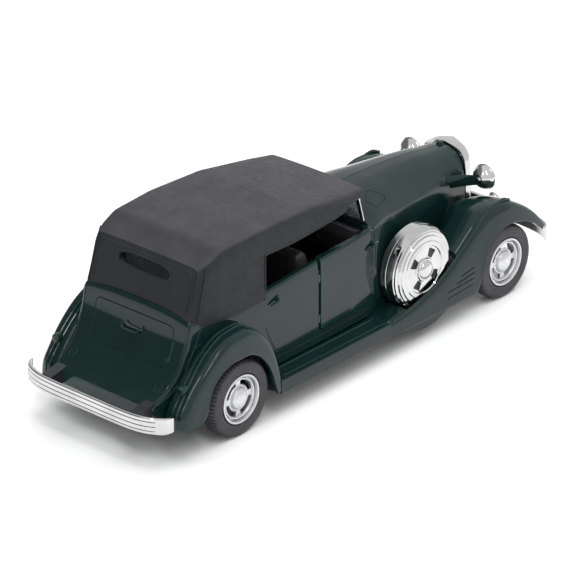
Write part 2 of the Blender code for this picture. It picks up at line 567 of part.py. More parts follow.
# ---------------------------------------------------------------- fender lamps
TAIL = [(0, -1.8), (0.7, -1.7), (1.2, -1.0), (1.3, 0.8), (1.0, 1.1), (0, 1.2)]
tail_r = lathe("tail_lamp_right", [(r, -h) for r, h in TAIL], (-20.4, -23.6, 21.2), "x", green, 16)
combine(tail_r, copy_of(rear, "tail_clear"))
grip_r = prism("handle_rear_right", [(17.3, 31.7), (17.5, 30.9), (21.7, 31.9), (21.8, 32.7)], "y",
               -20.56, -21.4, green)
marker = [(105.3, 30.3), (105.5, 31.3), (108.0, 32.1), (111.5, 32.1), (114.0, 31.0), (114.2, 30.1)]
mark_r = prism("marker_lamp_right", marker, "y", -22.5, -23.5, green)
combine(mark_r, copy_of(rear, "mark_clear"))
for ob, name in ((tail_r, "tail_lamp_left"), (grip_r, "handle_rear_left"), (mark_r, "marker_lamp_left")):
    mirrored(ob, name)

# ---------------------------------------------------------------- wheels and axles
TYRE = [(7.6, -21.3), (9.8, -20.9), (10.9, -21.4), (11.3, -22.8), (11.3, -24.9), (10.9, -26.1),
        (9.8, -26.56), (7.6, -26.2)]
RIM = [(0.0, -26.9), (1.9, -26.6), (2.9, -25.8), (3.4, -25.5), (5.4, -25.5), (6.4, -25.7), (6.7, -26.4),
       (7.3, -26.5), (7.3, -21.6), (6.5, -21.6), (6.3, -24.2), (2.2, -24.2), (2.0, -21.8), (0.0, -21.8)]


def wheel_pair(end, x):
    """Tyres, rims and shaft of one axle."""
    tyre = lathe("tyre_%s_right" % end, TYRE, (x, 0, AXLE_Z), "y", rubber, 28)
    rim = lathe("rim_%s_right" % end, RIM, (x, 0, AXLE_Z), "y", silver, 20)
    for k in range(4):
        a = math.radians(45 + 90 * k)
        cut = box("cut", (-SHIFT_X - 1.5, -SHIFT_X + 1.5), (-27.0, -23.0), (3.9, 5.3), silver)
        cut.data.transform(Matrix.Rotation(a, 4, "Y"))
        cut.data.transform(Matrix.Translation(put((x, 0, AXLE_Z))))
        combine(rim, cut)
    combine(rim, rod("bore", (x, -23.6, AXLE_Z), (x, 0, AXLE_Z), 0.95, silver, 16))
    shaft = rod("axle_" + end, (x, -23.4, AXLE_Z), (x, 23.4, AXLE_Z), SHAFT_R, steel, 16)
    return tyre, rim, shaft, mirrored(tyre, "tyre_%s_left" % end), mirrored(rim, "rim_%s_left" % end)


rear_parts = wheel_pair("rear", 0.0)
front_parts = wheel_pair("front", WHEELBASE)

# ---------------------------------------------------------------- pull-back drive
def gear(name, teeth, centre, phase, y0, y1, mat):
    pitch = MODULE * teeth / 2
    outline = []
    for k in range(teeth):
        for part, r in ((-0.31, pitch - 1.25 * MODULE), (-0.21, pitch), (-0.10, pitch + 0.75 * MODULE),
                        (0.10, pitch + 0.75 * MODULE), (0.21, pitch), (0.31, pitch - 1.25 * MODULE)):
            a = phase + (k + part) * 2 * math.pi / teeth
            outline.append((centre[0] + r * math.cos(a), centre[1] + r * math.sin(a)))
    return prism(name, outline, "y", y0, y1, mat)


def across(name, at, y0, y1, radius, mat, segs=16):
    """A rod parallel to the axles through the (x, z) point at."""
    return rod(name, (at[0], y0, at[1]), (at[0], y1, at[1]), radius, mat, segs)


line = math.atan2(SPRING_Z - AXLE_Z, SPRING_X)
spacing = MODULE * (TEETH_AXLE + TEETH_SPRING) / 2 + 0.12
spring_at = (spacing * math.cos(line), AXLE_Z + spacing * math.sin(line))
axle_gear = gear("axle_gear", TEETH_AXLE, (0.0, AXLE_Z), line, -5.4, -3.0, grey)
combine(axle_gear, rod("bore", (0, -8, AXLE_Z), (0, 0, AXLE_Z), 0.95, grey, 20))
half_tooth = math.pi / TEETH_SPRING
spring_gear = gear("spring_gear", TEETH_SPRING, spring_at, line + math.pi + half_tooth, -5.2, -3.2, grey)
combine(spring_gear, across("barrel", spring_at, -3.4, 4.6, 4.1, grey, 28), "UNION")
combine(spring_gear, across("bore", spring_at, -8.0, 8.0, 1.2, grey))
combine(spring_gear, lathe("spring_room", [(2.0, -2.4), (3.5, -2.4), (3.5, 5.0), (2.0, 5.0)],
                           (spring_at[0], 0, spring_at[1]), "y", grey, 28))
inner_edge = []
outer_edge = []
for k in range(COIL_STEPS + 1):
    a = 2 * math.pi * COIL_TURNS * k / COIL_STEPS
    r = 2.3 + 0.9 * k / COIL_STEPS
    for edge, reach in ((inner_edge, r - 0.1), (outer_edge, r + 0.1)):
        edge.append((spring_at[0] + reach * math.cos(a), spring_at[1] + reach * math.sin(a)))
spring_coil = prism("mainspring", outer_edge + inner_edge[::-1], "y", -1.6, 4.2, steel)
across("spring_arbor", spring_at, -7.4, 7.4, 0.9, steel)
case = box("motor_case", (-5.4, 14.6), (-8.0, 8.0), (8.3, 20.2), grey)
combine(case, box("room", (-4.4, 13.6), (-6.9, 6.9), (7.0, 19.2), grey))
combine(case, rod("run", (0, -30, AXLE_Z), (0, 30, AXLE_Z), 1.2, grey, 16))
combine(case, across("run", spring_at, -7.7, 7.7, 1.0, grey))

# ---------------------------------------------------------------- base plate
PLATE = [(-22.5, 12.0), (-19.0, 17.6), (15.5, 17.6), (17.0, 25.6), (64.5, 25.6), (93.0, 17.2),
         (99.0, 14.6), (116.0, 14.6), (127.0, 12.0)]
outline = [(x, -y) for x, y in PLATE] + [(x, y) for x, y in reversed(PLATE)]
base = prism("chassis_base", outline, "z", BASE_Z0, BASE_Z1, black)
combine(base, box("pad", (22.0, 56.0), (-13.0, 13.0), (PAD_Z, 7.0), black), "UNION")
combine(base, box("drive_pocket", (-5.0, 14.2), (-7.4, 7.4), (7.1, 9.0), black))
for x in (-3.0, WHEELBASE - 3.0):
    for side in (-1, 1):
        y = sorted((side * 11.5, side * 13.5))
        combine(base, box("saddle", (x, x + 6.0), y, (7.0, 13.6), black), "UNION")
for x in (0.0, WHEELBASE):
    combine(base, rod("bearing", (x, -30, AXLE_Z), (x, 30, AXLE_Z), 1.15, black, 16))
for side in (-1, 1):
    cup_y = (side * 17.6, side * 26.2)
    cup = lathe("cup", [(0, cup_y[0]), (SPARE_R + 4.6, cup_y[0]), (SPARE_R + 4.6, cup_y[1]), (0, cup_y[1])],
                (SPARE_X, 0, SPARE_Z - 1.2), "y", black, 48)
    trim_box = box("trim", (50.0, 110.0), (-40, 40), (7.4, 60.0), black)
    combine(cup, trim_box)
    combine(base, cup, "UNION")
for px in (SCREW_FRONT, SCREW_REAR):
    combine(base, rod("clear", (px, 0, 5.0), (px, 0, 9.0), 1.25, black, 16))
    combine(base, rod("sink", (px, 0, 5.0), (px, 0, BASE_Z0 + 0.9), 2.2, black, 20))
bpy.data.objects.remove(body_clear, do_unlink=True)
SCREW_HEAD = [(0, 0.1), (1.6, 0.1), (1.9, 0.4), (1.9, 0.8), (0, 0.8)]
for px, name in ((SCREW_FRONT, "screw_front"), (SCREW_REAR, "screw_rear")):
    screw = rod(name, (px, 0, BASE_Z0 + 0.7), (px, 0, 18.0), 0.95, steel, 12)
    combine(screw, lathe("head", SCREW_HEAD, (px, 0, BASE_Z0), "z", steel, 14), "UNION")
    combine(screw, box("drive", (px - 0.9, px + 0.9), (-0.2, 0.2), (5.0, BASE_Z0 + 0.45), steel))

SMOOTH = ("tyre", "rim", "spare", "headlight", "horn", "tail", "radiator_cap", "axle", "screw", "hinge")
smooth(*[ob for ob in bpy.data.objects if ob.type == "MESH" and ob.name.startswith(SMOOTH)])
for ob in rear_parts:
    pivot(ob, 0.0, 0.0, AXLE_Z)
for ob in front_parts:
    pivot(ob, WHEELBASE, 0.0, AXLE_Z)
pivot(axle_gear, 0.0, 0.0, AXLE_Z)
for ob in (spring_gear, spring_coil):
    pivot(ob, spring_at[0], 0.0, spring_at[1])
pivot(door_skin, HINGE_X, -HINGE_Y, 0.0)
pivot(door_left, HINGE_X, HINGE_Y, 0.0)
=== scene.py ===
"""The looks of a 1:32 diecast open tourer: enamelled castings, matte soft-top, plated trim and rubber tyres.

Shapes are worked out in millimetres in the car's own axes: x forward from the rear axle, y to the left, z up
from the ground. placed() turns them into the frame's metres.
"""
import json
import math

import bmesh
import bpy
import numpy as np
from mathutils import Matrix, Vector
from mathutils.bvhtree import BVHTree


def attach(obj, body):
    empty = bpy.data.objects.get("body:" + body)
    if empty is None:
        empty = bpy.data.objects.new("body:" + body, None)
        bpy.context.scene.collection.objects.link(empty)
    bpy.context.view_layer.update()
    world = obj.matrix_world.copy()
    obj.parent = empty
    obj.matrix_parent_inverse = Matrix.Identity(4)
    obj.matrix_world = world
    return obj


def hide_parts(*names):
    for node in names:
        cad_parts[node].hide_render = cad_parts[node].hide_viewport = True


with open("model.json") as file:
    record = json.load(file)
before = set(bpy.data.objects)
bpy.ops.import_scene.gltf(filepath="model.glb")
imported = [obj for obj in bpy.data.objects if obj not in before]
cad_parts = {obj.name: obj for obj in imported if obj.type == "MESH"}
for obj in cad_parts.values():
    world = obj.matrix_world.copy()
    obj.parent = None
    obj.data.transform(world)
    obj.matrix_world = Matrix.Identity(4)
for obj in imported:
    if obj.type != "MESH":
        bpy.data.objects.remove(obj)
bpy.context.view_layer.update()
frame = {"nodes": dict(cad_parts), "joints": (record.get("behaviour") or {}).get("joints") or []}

MM = 0.001
JOINTS = {joint["name"]: joint for joint in frame["joints"]}
REAR_AXLE = Vector(JOINTS["rear_axle_spin"]["pos_m"])
FRONT_AXLE = Vector(JOINTS["front_axle_spin"]["pos_m"])
WHEELBASE = (FRONT_AXLE.x - REAR_AXLE.x) / MM
AXLE_Z = REAR_AXLE.z / MM
HINGE = Vector(JOINTS["door_right_hinge"]["pos_m"])
HINGE_X = (HINGE.x - REAR_AXLE.x) / MM
HINGE_Y = HINGE.y / MM
WALL = 1.25
SPARE_X = 78.4
SPARE_Z = 21.6
LAMP_X = 117.3
LAMP_Y = 14.0
LAMP_Z = 33.1
ORDER = {"x": (2, 0, 1), "y": (0, 2, 1), "z": (0, 1, 2)}


# ---------------- mesh tools
def placed(points):
    out = np.array(points, float) * MM
    out[..., 0] += REAR_AXLE.x
    return out


def pchip(x, y, xi):
    """Shape-preserving cubic through (x, y) read at xi; y may have columns."""
    x = np.asarray(x, float)
    y = np.asarray(y, float)
    flat = y.ndim == 1
    if flat:
        y = y[:, None]
    h = np.diff(x)[:, None]
    d = np.diff(y, axis=0) / h
    m = np.zeros_like(y)
    m[0] = d[0]
    m[-1] = d[-1]
    w1 = 2 * h[1:] + h[:-1]
    w2 = h[1:] + 2 * h[:-1]
    same = d[:-1] * d[1:] > 0
    safe_a = np.where(same, d[:-1], 1.0)
    safe_b = np.where(same, d[1:], 1.0)
    m[1:-1] = np.where(same, (w1 + w2) / (w1 / safe_a + w2 / safe_b), 0.0)
    k = np.clip(np.searchsorted(x, xi, side="right") - 1, 0, len(x) - 2)
    t = ((np.asarray(xi) - x[k]) / (x[k + 1] - x[k]))[:, None]
    a = y[k]
    b = y[k + 1]
    out = ((1 + 2 * t) * (1 - t) ** 2 * a + t * (1 - t) ** 2 * h[k] * m[k]
           + t * t * (3 - 2 * t) * b + t * t * (t - 1) * h[k] * m[k + 1])
    return out[:, 0] if flat else out


def run_lengths(points):
    """Distance from the first point to each point, along the line through them."""
    return np.concatenate([[0], np.cumsum(np.linalg.norm(np.diff(points, axis=0), axis=1))])


def turns(count):
    """Angles evenly spaced over one turn."""
    return 2 * math.pi * np.arange(count) / count


def along(points, count):
    """A smooth curve through points, resampled by chord length."""
    points = np.asarray(points, float)
    s = run_lengths(points)
    return pchip(s, points, np.linspace(0, s[-1], count))


def added(name, data):
    ob = bpy.data.objects.new(name, data)
    bpy.context.scene.collection.objects.link(ob)
    return ob


def raw(name, verts, faces):
    mesh = bpy.data.meshes.new(name)
    mesh.from_pydata([tuple(v) for v in placed(verts)], [], [tuple(f) for f in faces])
    bm = bmesh.new()
    bm.from_mesh(mesh)
    bmesh.ops.recalc_face_normals(bm, faces=bm.faces)
    bm.to_mesh(mesh)
    bm.free()
    return added(name, mesh)


def ring_solid(name, rings, loop=False):
    """Closed solid through equal closed rings: flat at both ends, or joined up into a loop."""
    rings = np.asarray(rings, float)
    m, n = rings.shape[:2]
    faces = []
    for k in range(m if loop else m - 1):
        after = (k + 1) % m
        for i in range(n):
            j = (i + 1) % n
            faces.append((k * n + i, k * n + j, after * n + j, after * n + i))
    if not loop:
        faces += [range(n), range((m - 1) * n, m * n)]
    return raw(name, rings.reshape(-1, 3), faces)


def prism(name, outline, axis, lo, hi):
    """Outline in the two axes other than the extrusion axis, in x, y, z order."""
    rings = []
    for h in (lo, hi):
        ring = np.array([(p[0], p[1], h) for p in outline], float)
        rings.append(ring[:, ORDER[axis]])
    return ring_solid(name, rings)


def turned(name, profile, centre, axis, segs=96, bump=None):
    """Solid of revolution of (radius, height) pairs; bump(angle, index) adds to the radius."""
    profile = np.asarray(profile, float)
    closed = profile[0][0] > 0
    verts = []
    rows = []
    for k, (r, h) in enumerate(profile):
        count = segs if r > 0 else 1
        a = 2 * math.pi * np.arange(count) / segs
        rr = r + (bump(a, k) if bump is not None and r > 0 else 0.0)
        ring = np.stack([rr * np.cos(a), rr * np.sin(a), np.full(count, h)], axis=1)[:, ORDER[axis]]
        rows.append(list(range(len(verts), len(verts) + count)))
        verts.extend(ring + np.array(centre))
    pairs = list(zip(rows, rows[1:]))
    if closed:
        pairs.append((rows[-1], rows[0]))
    faces = []
    for a, b in pairs:
        for k in range(segs):
            j = (k + 1) % segs
            quad = [a[k % len(a)], a[j % len(a)], b[j % len(b)], b[k % len(b)]]
            faces.append(tuple(dict.fromkeys(quad)))
    return raw(name, verts, faces)


def swept(name, path, section, closed=False, up=(0, 0, 1)):
    """Section of (side, up) points carried along a path."""
    path = np.asarray(path, float)
    section = np.asarray(section, float)
    if closed:
        tangent = np.roll(path, -1, axis=0) - np.roll(path, 1, axis=0)
    else:
        tangent = np.gradient(path, axis=0)
    tangent /= np.linalg.norm(tangent, axis=1, keepdims=True)
    side = np.cross(tangent, np.array(up, float))
    side /= np.linalg.norm(side, axis=1, keepdims=True)
    top = np.cross(side, tangent)
    rings = path[:, None] + side[:, None] * section[None, :, :1] + top[:, None] * section[None, :, 1:]
    return ring_solid(name, rings, closed)


def circle(radius, count=12, squash=1.0):
    a = turns(count)
    return np.stack([radius * np.cos(a), radius * squash * np.sin(a)], axis=1)


def carve(target, cutter, operation="DIFFERENCE"):
    mod = target.modifiers.new("carve", "BOOLEAN")
    mod.operation = operation
    mod.solver = "EXACT"
    mod.object = cutter
    deps = bpy.context.evaluated_depsgraph_get()
    mesh = bpy.data.meshes.new_from_object(target.evaluated_get(deps))
    target.modifiers.remove(mod)
    bm = bmesh.new()
    bm.from_mesh(mesh)
    bmesh.ops.remove_doubles(bm, verts=bm.verts, dist=0.001 * MM)
    bm.to_mesh(mesh)
    bm.free()
    target.data = mesh
    bpy.data.objects.remove(cutter, do_unlink=True)
    return target


def joined(target, *others):
    """Several closed solids in one piece."""
    bm = bmesh.new()
    bm.from_mesh(target.data)
    for other in others:
        bm.from_mesh(other.data)
        bpy.data.objects.remove(other, do_unlink=True)
    bm.to_mesh(target.data)
    bm.free()
    return target


def mirrored(ob, name):
    mesh = ob.data.copy()
    mesh.transform(Matrix.Scale(-1, 4, (0, 1, 0)))
    mesh.flip_normals()
    return added(name, mesh)


def bevelled(ob, width):
    mod = ob.modifiers.new("soft_edges", "BEVEL")
    mod.width = width * MM
    mod.segments = 2
    mod.limit_method = "ANGLE"
    mod.angle_limit = math.radians(40)
    mod.use_clamp_overlap = True
    mod.harden_normals = True
    return ob


def piece(ob, name, material, replaces=(), angle=32, body="car_body"):
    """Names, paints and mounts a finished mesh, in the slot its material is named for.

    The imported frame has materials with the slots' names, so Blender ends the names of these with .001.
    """
    ob.name = name
    ob.data.name = name
    ob.data.materials.clear()
    ob.data.materials.append(material)
    for poly in ob.data.polygons:
        poly.material_index = 0
    ob.data.shade_smooth()
    ob.data.set_sharp_from_angle(angle=math.radians(angle))
    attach(ob, body)
    if replaces:
        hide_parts(*replaces)
    return ob


def both_sides(ob, name, material, replaces=(), angle=32, body="car_body"):
    """A right-hand piece and its mirror image; {} in the names stands for the side."""
    left = mirrored(ob, name.format("left"))
    for side, it in (("right", ob), ("left", left)):
        piece(it, name.format(side), material, [n.format(side) for n in replaces], angle, body.format(side))


# ---------------- materials
def principled(mat):
    return mat.node_tree.nodes["Principled BSDF"]


def link(mat, output, socket):
    mat.node_tree.links.new(output, principled(mat).inputs[socket])


def noise(mat, scale, detail, roughness=0.5):
    tree = mat.node_tree
    coord = tree.nodes.new("ShaderNodeTexCoord")
    tex = tree.nodes.new("ShaderNodeTexNoise")
    tex.inputs["Scale"].default_value = scale
    tex.inputs["Detail"].default_value = detail
    tex.inputs["Roughness"].default_value = roughness
    tree.links.new(coord.outputs["Object"], tex.inputs["Vector"])
    return tex.outputs["Fac"]


def spread(mat, value, low, high, start=0.3, end=0.7):
    """Maps a value between start and end onto a range of numbers."""
    node = mat.node_tree.nodes.new("ShaderNodeMapRange")
    for socket, number in (("From Min", start), ("From Max", end), ("To Min", low), ("To Max", high)):
        node.inputs[socket].default_value = number
    mat.node_tree.links.new(value, node.inputs["Value"])
    return node.outputs["Result"]


def tinted(mat, value, low, high):
    """Maps a texture value onto a blend of two colours."""
    ramp = mat.node_tree.nodes.new("ShaderNodeValToRGB")
    for end, position, colour in zip(ramp.color_ramp.elements, (0.35, 0.65), (low, high)):
        end.position = position
        end.color = (*colour, 1)
    mat.node_tree.links.new(value, ramp.inputs["Fac"])
    return ramp.outputs["Color"]


def blended(mat, factor, first, second):
    """Mix of a colour output and a second one, or a plain colour, by a value from 0 to 1."""
    mix = mat.node_tree.nodes.new("ShaderNodeMix")
    mix.data_type = "RGBA"
    mat.node_tree.links.new(factor, mix.inputs[0])
    mat.node_tree.links.new(first, mix.inputs[6])
    if isinstance(second, tuple):
        mix.inputs[7].default_value = (*second, 1)
    else:
        mat.node_tree.links.new(second, mix.inputs[7])
    return mix.outputs[2]


def coating(name, colour, roughness, metallic=0.0, tone=None, gloss=None, grain=None, **sockets):
    """A material whose colour (tone), roughness (gloss) and surface (grain) vary with noise.

    Each of the three starts with the noise's scale and detail. Then come the two colours of tone, the two
    roughnesses of gloss, and the strength and depth of grain, which may end with the noise's own roughness.
    """
    mat = bpy.data.materials.new(name)
    mat.use_nodes = True
    values = {"Base Color": (*colour, 1), "Roughness": roughness, "Metallic": metallic, **sockets}
    for key, value in values.items():
        principled(mat).inputs[key.replace("_", " ")].default_value = value
    if tone:
        link(mat, tinted(mat, noise(mat, *tone[:2]), *tone[2:]), "Base Color")
    if gloss:
        link(mat, spread(mat, noise(mat, *gloss[:2]), *gloss[2:]), "Roughness")
    if grain:
        scale, detail, strength, depth, *own = grain
        bump = mat.node_tree.nodes.new("ShaderNodeBump")
        bump.inputs["Strength"].default_value = strength
        bump.inputs["Distance"].default_value = depth
        mat.node_tree.links.new(noise(mat, scale, detail, *own), bump.inputs["Height"])
        link(mat, bump.outputs["Normal"], "Normal")
    return mat


def enamel():
    """Thick dark green enamel: deep colour, light orange peel, and paler green on sharp edges as a painted
    highlight.
    """
    mat = coating("green_enamel", (0.004, 0.0165, 0.0155), 0.12, gloss=(260.0, 5.0, 0.07, 0.15),
                  grain=(420.0, 2.0, 0.05, 0.0002), Specular_IOR_Level=0.37)
    base = tinted(mat, noise(mat, 90.0, 4.0), (0.0035, 0.0150, 0.0140), (0.0045, 0.0185, 0.0170))
    geometry = mat.node_tree.nodes.new("ShaderNodeNewGeometry")
    # painted highlight: sharp edges turn paler green, as where the enamel catches the light
    painted_edge_highlight = spread(mat, geometry.outputs["Pointiness"], 0.0, 1.0, 0.53, 0.62)
    link(mat, blended(mat, painted_edge_highlight, base, (0.010, 0.046, 0.034)), "Base Color")
    return mat


def matte_top():
    """Moulded soft-top: fine leather-like grain, black, with painted light: paler on the faces turned up,
    darker on the faces turned aside and down.
    """
    mat = coating("top_matte", (0.03, 0.03, 0.033), 0.6, gloss=(700.0, 4.0, 0.42, 0.56),
                  grain=(3800.0, 3.0, 0.22, 0.00012, 0.6), Specular_IOR_Level=0.27)
    cloud = noise(mat, 140.0, 5.0)
    painted_lit_top = tinted(mat, cloud, (0.032, 0.032, 0.038), (0.041, 0.041, 0.048))
    painted_shaded_sides = tinted(mat, cloud, (0.006, 0.008, 0.011), (0.009, 0.011, 0.015))
    geometry = mat.node_tree.nodes.new("ShaderNodeNewGeometry")
    split = mat.node_tree.nodes.new("ShaderNodeSeparateXYZ")
    mat.node_tree.links.new(geometry.outputs["Normal"], split.inputs["Vector"])
    # painted light: faces turned up take the paler colour, sides and faces turned down the darker one
    link(mat, blended(mat, spread(mat, split.outputs["Z"], 0.0, 1.0, 0.15, 0.9), painted_shaded_sides, painted_lit_top), "Base Color")
    return mat


def plastic(name, low, high, rough_low, rough_high):
    return coating(name, low, rough_low, tone=(150.0, 4.0, low, high),
                   gloss=(600.0, 4.0, rough_low, rough_high), grain=(2200.0, 3.0, 0.15, 0.0001))


def clear_moulding(name, tint):
    return coating(name, tint, 0.04, gloss=(350.0, 3.0, 0.02, 0.09), Transmission_Weight=0.92, IOR=1.49)


GREEN = enamel()
TOP = matte_top()
# vacuum plating on plastic: bright, a little wavy, with faint haze
CHROME = coating("chrome_plating", (0.86, 0.86, 0.85), 0.06, metallic=1.0,
                 tone=(120.0, 3.0, (0.56, 0.56, 0.56), (0.67, 0.67, 0.67)),
                 gloss=(300.0, 4.0, 0.03, 0.11), grain=(180.0, 2.0, 0.06, 0.0003))
# sprayed metallic silver: flakes and a soft lustre
SILVER = coating("rim_silver", (0.60, 0.60, 0.62), 0.30, metallic=1.0,
                 tone=(5200.0, 2.0, (0.58, 0.58, 0.60), (0.78, 0.78, 0.80)),
                 gloss=(400.0, 4.0, 0.33, 0.46), grain=(5200.0, 2.0, 0.10, 0.00008))
RUBBER = coating("tyre_rubber", (0.040, 0.038, 0.043), 0.7,
                 tone=(160.0, 5.0, (0.034, 0.032, 0.037), (0.050, 0.048, 0.053)),
                 gloss=(900.0, 5.0, 0.62, 0.82), grain=(2600.0, 4.0, 0.25, 0.00015))
STEEL = coating("steel", (0.52, 0.52, 0.53), 0.3, metallic=1.0,
                tone=(500.0, 4.0, (0.42, 0.42, 0.43), (0.58, 0.58, 0.58)), gloss=(900.0, 5.0, 0.22, 0.42))
BLACK = plastic("base_plastic", (0.012, 0.013, 0.014), (0.020, 0.021, 0.022), 0.38, 0.52)
TRIM = plastic("interior_plastic", (0.020, 0.019, 0.021), (0.032, 0.030, 0.033), 0.42, 0.58)
# blued steel for the bumper brackets; on the hinge pins the same dark material is painted shade in the door
# gaps
BLUED_AND_GAP_SHADE = plastic("blued_steel", (0.010, 0.012, 0.013), (0.016, 0.018, 0.019), 0.3, 0.45)
MOTOR = plastic("motor_plastic", (0.50, 0.50, 0.48), (0.60, 0.60, 0.57), 0.28, 0.40)
CLEAR = clear_moulding("clear_styrene", (0.93, 0.96, 0.97))
SMOKED = clear_moulding("smoked_styrene", (0.10, 0.11, 0.13))


# ---------------- cab and hood casting
# station: x, six (half width, z) points from the sill up to the shoulder, z of the crown
STATIONS = np.array([
    (-27.4, 18.3, 12.6, 18.5, 13.6, 18.6, 14.6, 18.6, 15.5, 18.5, 16.2, 18.0, 16.7, 16.7),
    (-24.5, 18.9, 11.8, 19.0, 13.5, 19.1, 15.5, 19.0, 17.0, 18.9, 17.7, 18.4, 18.3, 18.3),
    (-20.7, 19.4, 11.8, 19.5, 14.2, 19.7, 17.0, 19.7, 19.0, 19.6, 20.1, 19.1, 20.9, 20.9),
    (-17.2, 19.8, 11.8, 19.9, 15.5, 20.0, 19.5, 19.9, 22.5, 19.8, 24.2, 19.3, 25.0, 25.0),
    (-14.6, 20.2, 11.8, 20.2, 16.5, 20.2, 22.0, 20.1, 26.8, 19.9, 30.0, 19.3, 30.9, 30.9),
    (-12.6, 20.3, 11.8, 20.3, 18.0, 20.3, 25.0, 20.2, 31.5, 20.0, 36.2, 19.4, 37.2, 38.6),
    (-8.6, 20.4, 11.8, 20.5, 18.0, 20.5, 25.0, 20.4, 31.5, 20.2, 35.8, 19.8, 36.6, 38.6),
    (1.0, 20.5, 11.8, 20.6, 18.0, 20.6, 25.0, 20.5, 31.0, 20.3, 34.4, 19.9, 35.1, 36.0),
    (16.6, 20.5, 11.8, 20.5, 18.0, 20.5, 25.0, 20.5, 31.5, 20.3, 35.2, 19.9, 35.8, 36.0),
    (39.0, 20.3, 11.8, 20.3, 18.0, 20.3, 25.0, 20.3, 32.5, 20.1, 36.6, 19.7, 37.3, 37.4),
    (56.0, 19.9, 11.8, 19.9, 18.0, 19.8, 25.0, 19.6, 33.0, 19.2, 37.0, 18.7, 37.8, 38.0),
    (62.6, 19.6, 11.8, 19.6, 18.0, 19.4, 25.0, 19.1, 33.0, 18.5, 37.3, 17.9, 38.2, 38.5),
    (62.9, 19.6, 11.8, 19.6, 18.0, 19.4, 25.0, 19.1, 33.0, 18.3, 37.3, 16.8, 39.2, 43.7),
    (68.5, 18.4, 12.2, 18.4, 18.0, 18.1, 25.0, 17.7, 33.0, 16.9, 37.4, 15.4, 39.8, 44.2),
    (76.0, 16.4, 13.0, 16.5, 18.0, 16.3, 25.0, 15.9, 32.5, 15.1, 36.6, 13.6, 39.4, 44.3),
    (84.0, 14.5, 13.4, 14.6, 18.0, 14.6, 25.0, 14.3, 32.0, 13.5, 35.7, 12.0, 38.5, 44.0),
    (92.0, 12.7, 13.6, 12.9, 18.0, 12.9, 25.0, 12.7, 31.2, 12.0, 34.8, 10.6, 37.7, 43.5),
    (101.0, 10.8, 13.8, 11.0, 18.0, 11.1, 25.0, 11.0, 30.6, 10.4, 34.2, 9.1, 37.1, 42.6),
    (109.0, 9.2, 14.0, 9.4, 18.0, 9.6, 25.0, 9.5, 30.2, 9.0, 33.8, 7.8, 36.8, 41.3),
    (116.2, 7.9, 14.4, 8.1, 18.0, 8.4, 25.0, 8.4, 30.0, 8.0, 33.6, 6.9, 36.4, 40.3),
])
SIDE_STEPS = [k + f for k in range(5) for f in (0.1, 0.5, 0.9)]
CROWN_STEPS = np.linspace(0.12, 4.0, 17)


def body_grid(inset=0.0, sink=0.0, x_lo=-99.0, x_hi=999.0, step=0.7):
    """Rows of sections of the casting, each from the right sill over the top to the left sill."""
    rows = STATIONS.copy()
    columns = [rows[:, 1:13:2] - inset, rows[:, 2:14:2].copy()]
    rise = rows[:, 13] - rows[:, 12]
    for f, up in ((0.82, 0.42), (0.6, 0.72), (0.3, 0.94)):
        columns[0] = np.column_stack([columns[0], columns[0][:, 5] * f])
        columns[1] = np.column_stack([columns[1], rows[:, 12] + rise * up])
    columns[0] = np.column_stack([columns[0], np.zeros(len(rows))])
    columns[1] = np.column_stack([columns[1], rows[:, 13]])
    columns[1][:, 3:] -= inset
    columns[1][:, 0] -= sink
    keep = (rows[:, 0] >= x_lo) & (rows[:, 0] <= x_hi)
    path = np.stack([rows[keep, 0], rows[keep, 13]], axis=1)
    s = run_lengths(path)
    at = np.unique(np.concatenate([np.arange(0, s[-1], step), s]))
    x = pchip(s, rows[keep, 0], at)
    w = pchip(s, columns[0][keep], at)
    z = pchip(s, columns[1][keep], at)
    index = np.arange(6)
    grid = []
    for k in range(len(at)):
        side_w = np.interp(SIDE_STEPS, index, w[k, :6])
        side_z = np.interp(SIDE_STEPS, index, z[k, :6])
        side_w = np.concatenate([[w[k, 0]], side_w])
        side_z = np.concatenate([[z[k, 0]], side_z])
        crown = pchip(np.arange(5), np.stack([w[k, 5:], z[k, 5:]], axis=1), CROWN_STEPS)
        half = np.concatenate([np.stack([side_w, side_z], axis=1), crown])
        ring = [(x[k], -p[0], p[1]) for p in half] + [(x[k], p[0], p[1]) for p in half[-2::-1]]
        grid.append(ring)
    return np.array(grid)


def casting_core():
    """The hollow inside the casting."""
    grid = body_grid(inset=WALL, sink=6.0, step=1.6)
    x = grid[:, :, 0]
    x += np.where(x < -12.0, WALL + 0.9, 0.0)
    np.minimum(x, STATIONS[-1][0] - WALL, out=x)
    keep = np.concatenate([[True], np.diff(x[:, 0]) > 0.01])
    return ring_solid("core", grid[keep])


DOOR_X0 = HINGE_X + 0.7
DOOR_X1 = 64.3
DOOR_Z0 = 15.6
DOOR_GAP = 0.3
FAR = 40.0


def rounded(points, radius, steps=6):
    """Closed outline with its corners rounded."""
    points = [np.array(p, float) for p in points]
    out = []
    for k, p in enumerate(points):
        a = points[k - 1] - p
        b = points[(k + 1) % len(points)] - p
        la = np.linalg.norm(a)
        lb = np.linalg.norm(b)
        cut = min(radius, la * 0.45, lb * 0.45)
        start = p + a / la * cut
        end = p + b / lb * cut
        for t in np.linspace(0, 1, steps):
            out.append((1 - t) ** 2 * start + 2 * t * (1 - t) * p + t * t * end)
    return np.array(out)


def door_outline(grow=0.0):
    x0 = DOOR_X0 - grow
    x1 = DOOR_X1 + grow
    z0 = DOOR_Z0 - grow
    corners = [(x0, 46.0), (x0, z0), (x1 - 3.0, z0 + 0.5), (x1 - 0.3, z0 + 2.0), (x1, z0 + 5.0), (x1, 46.0)]
    return rounded(corners, 0.7)


def skin_tree(ob):
    return BVHTree.FromPolygons([v.co for v in ob.data.vertices], [p.vertices[:] for p in ob.data.polygons])


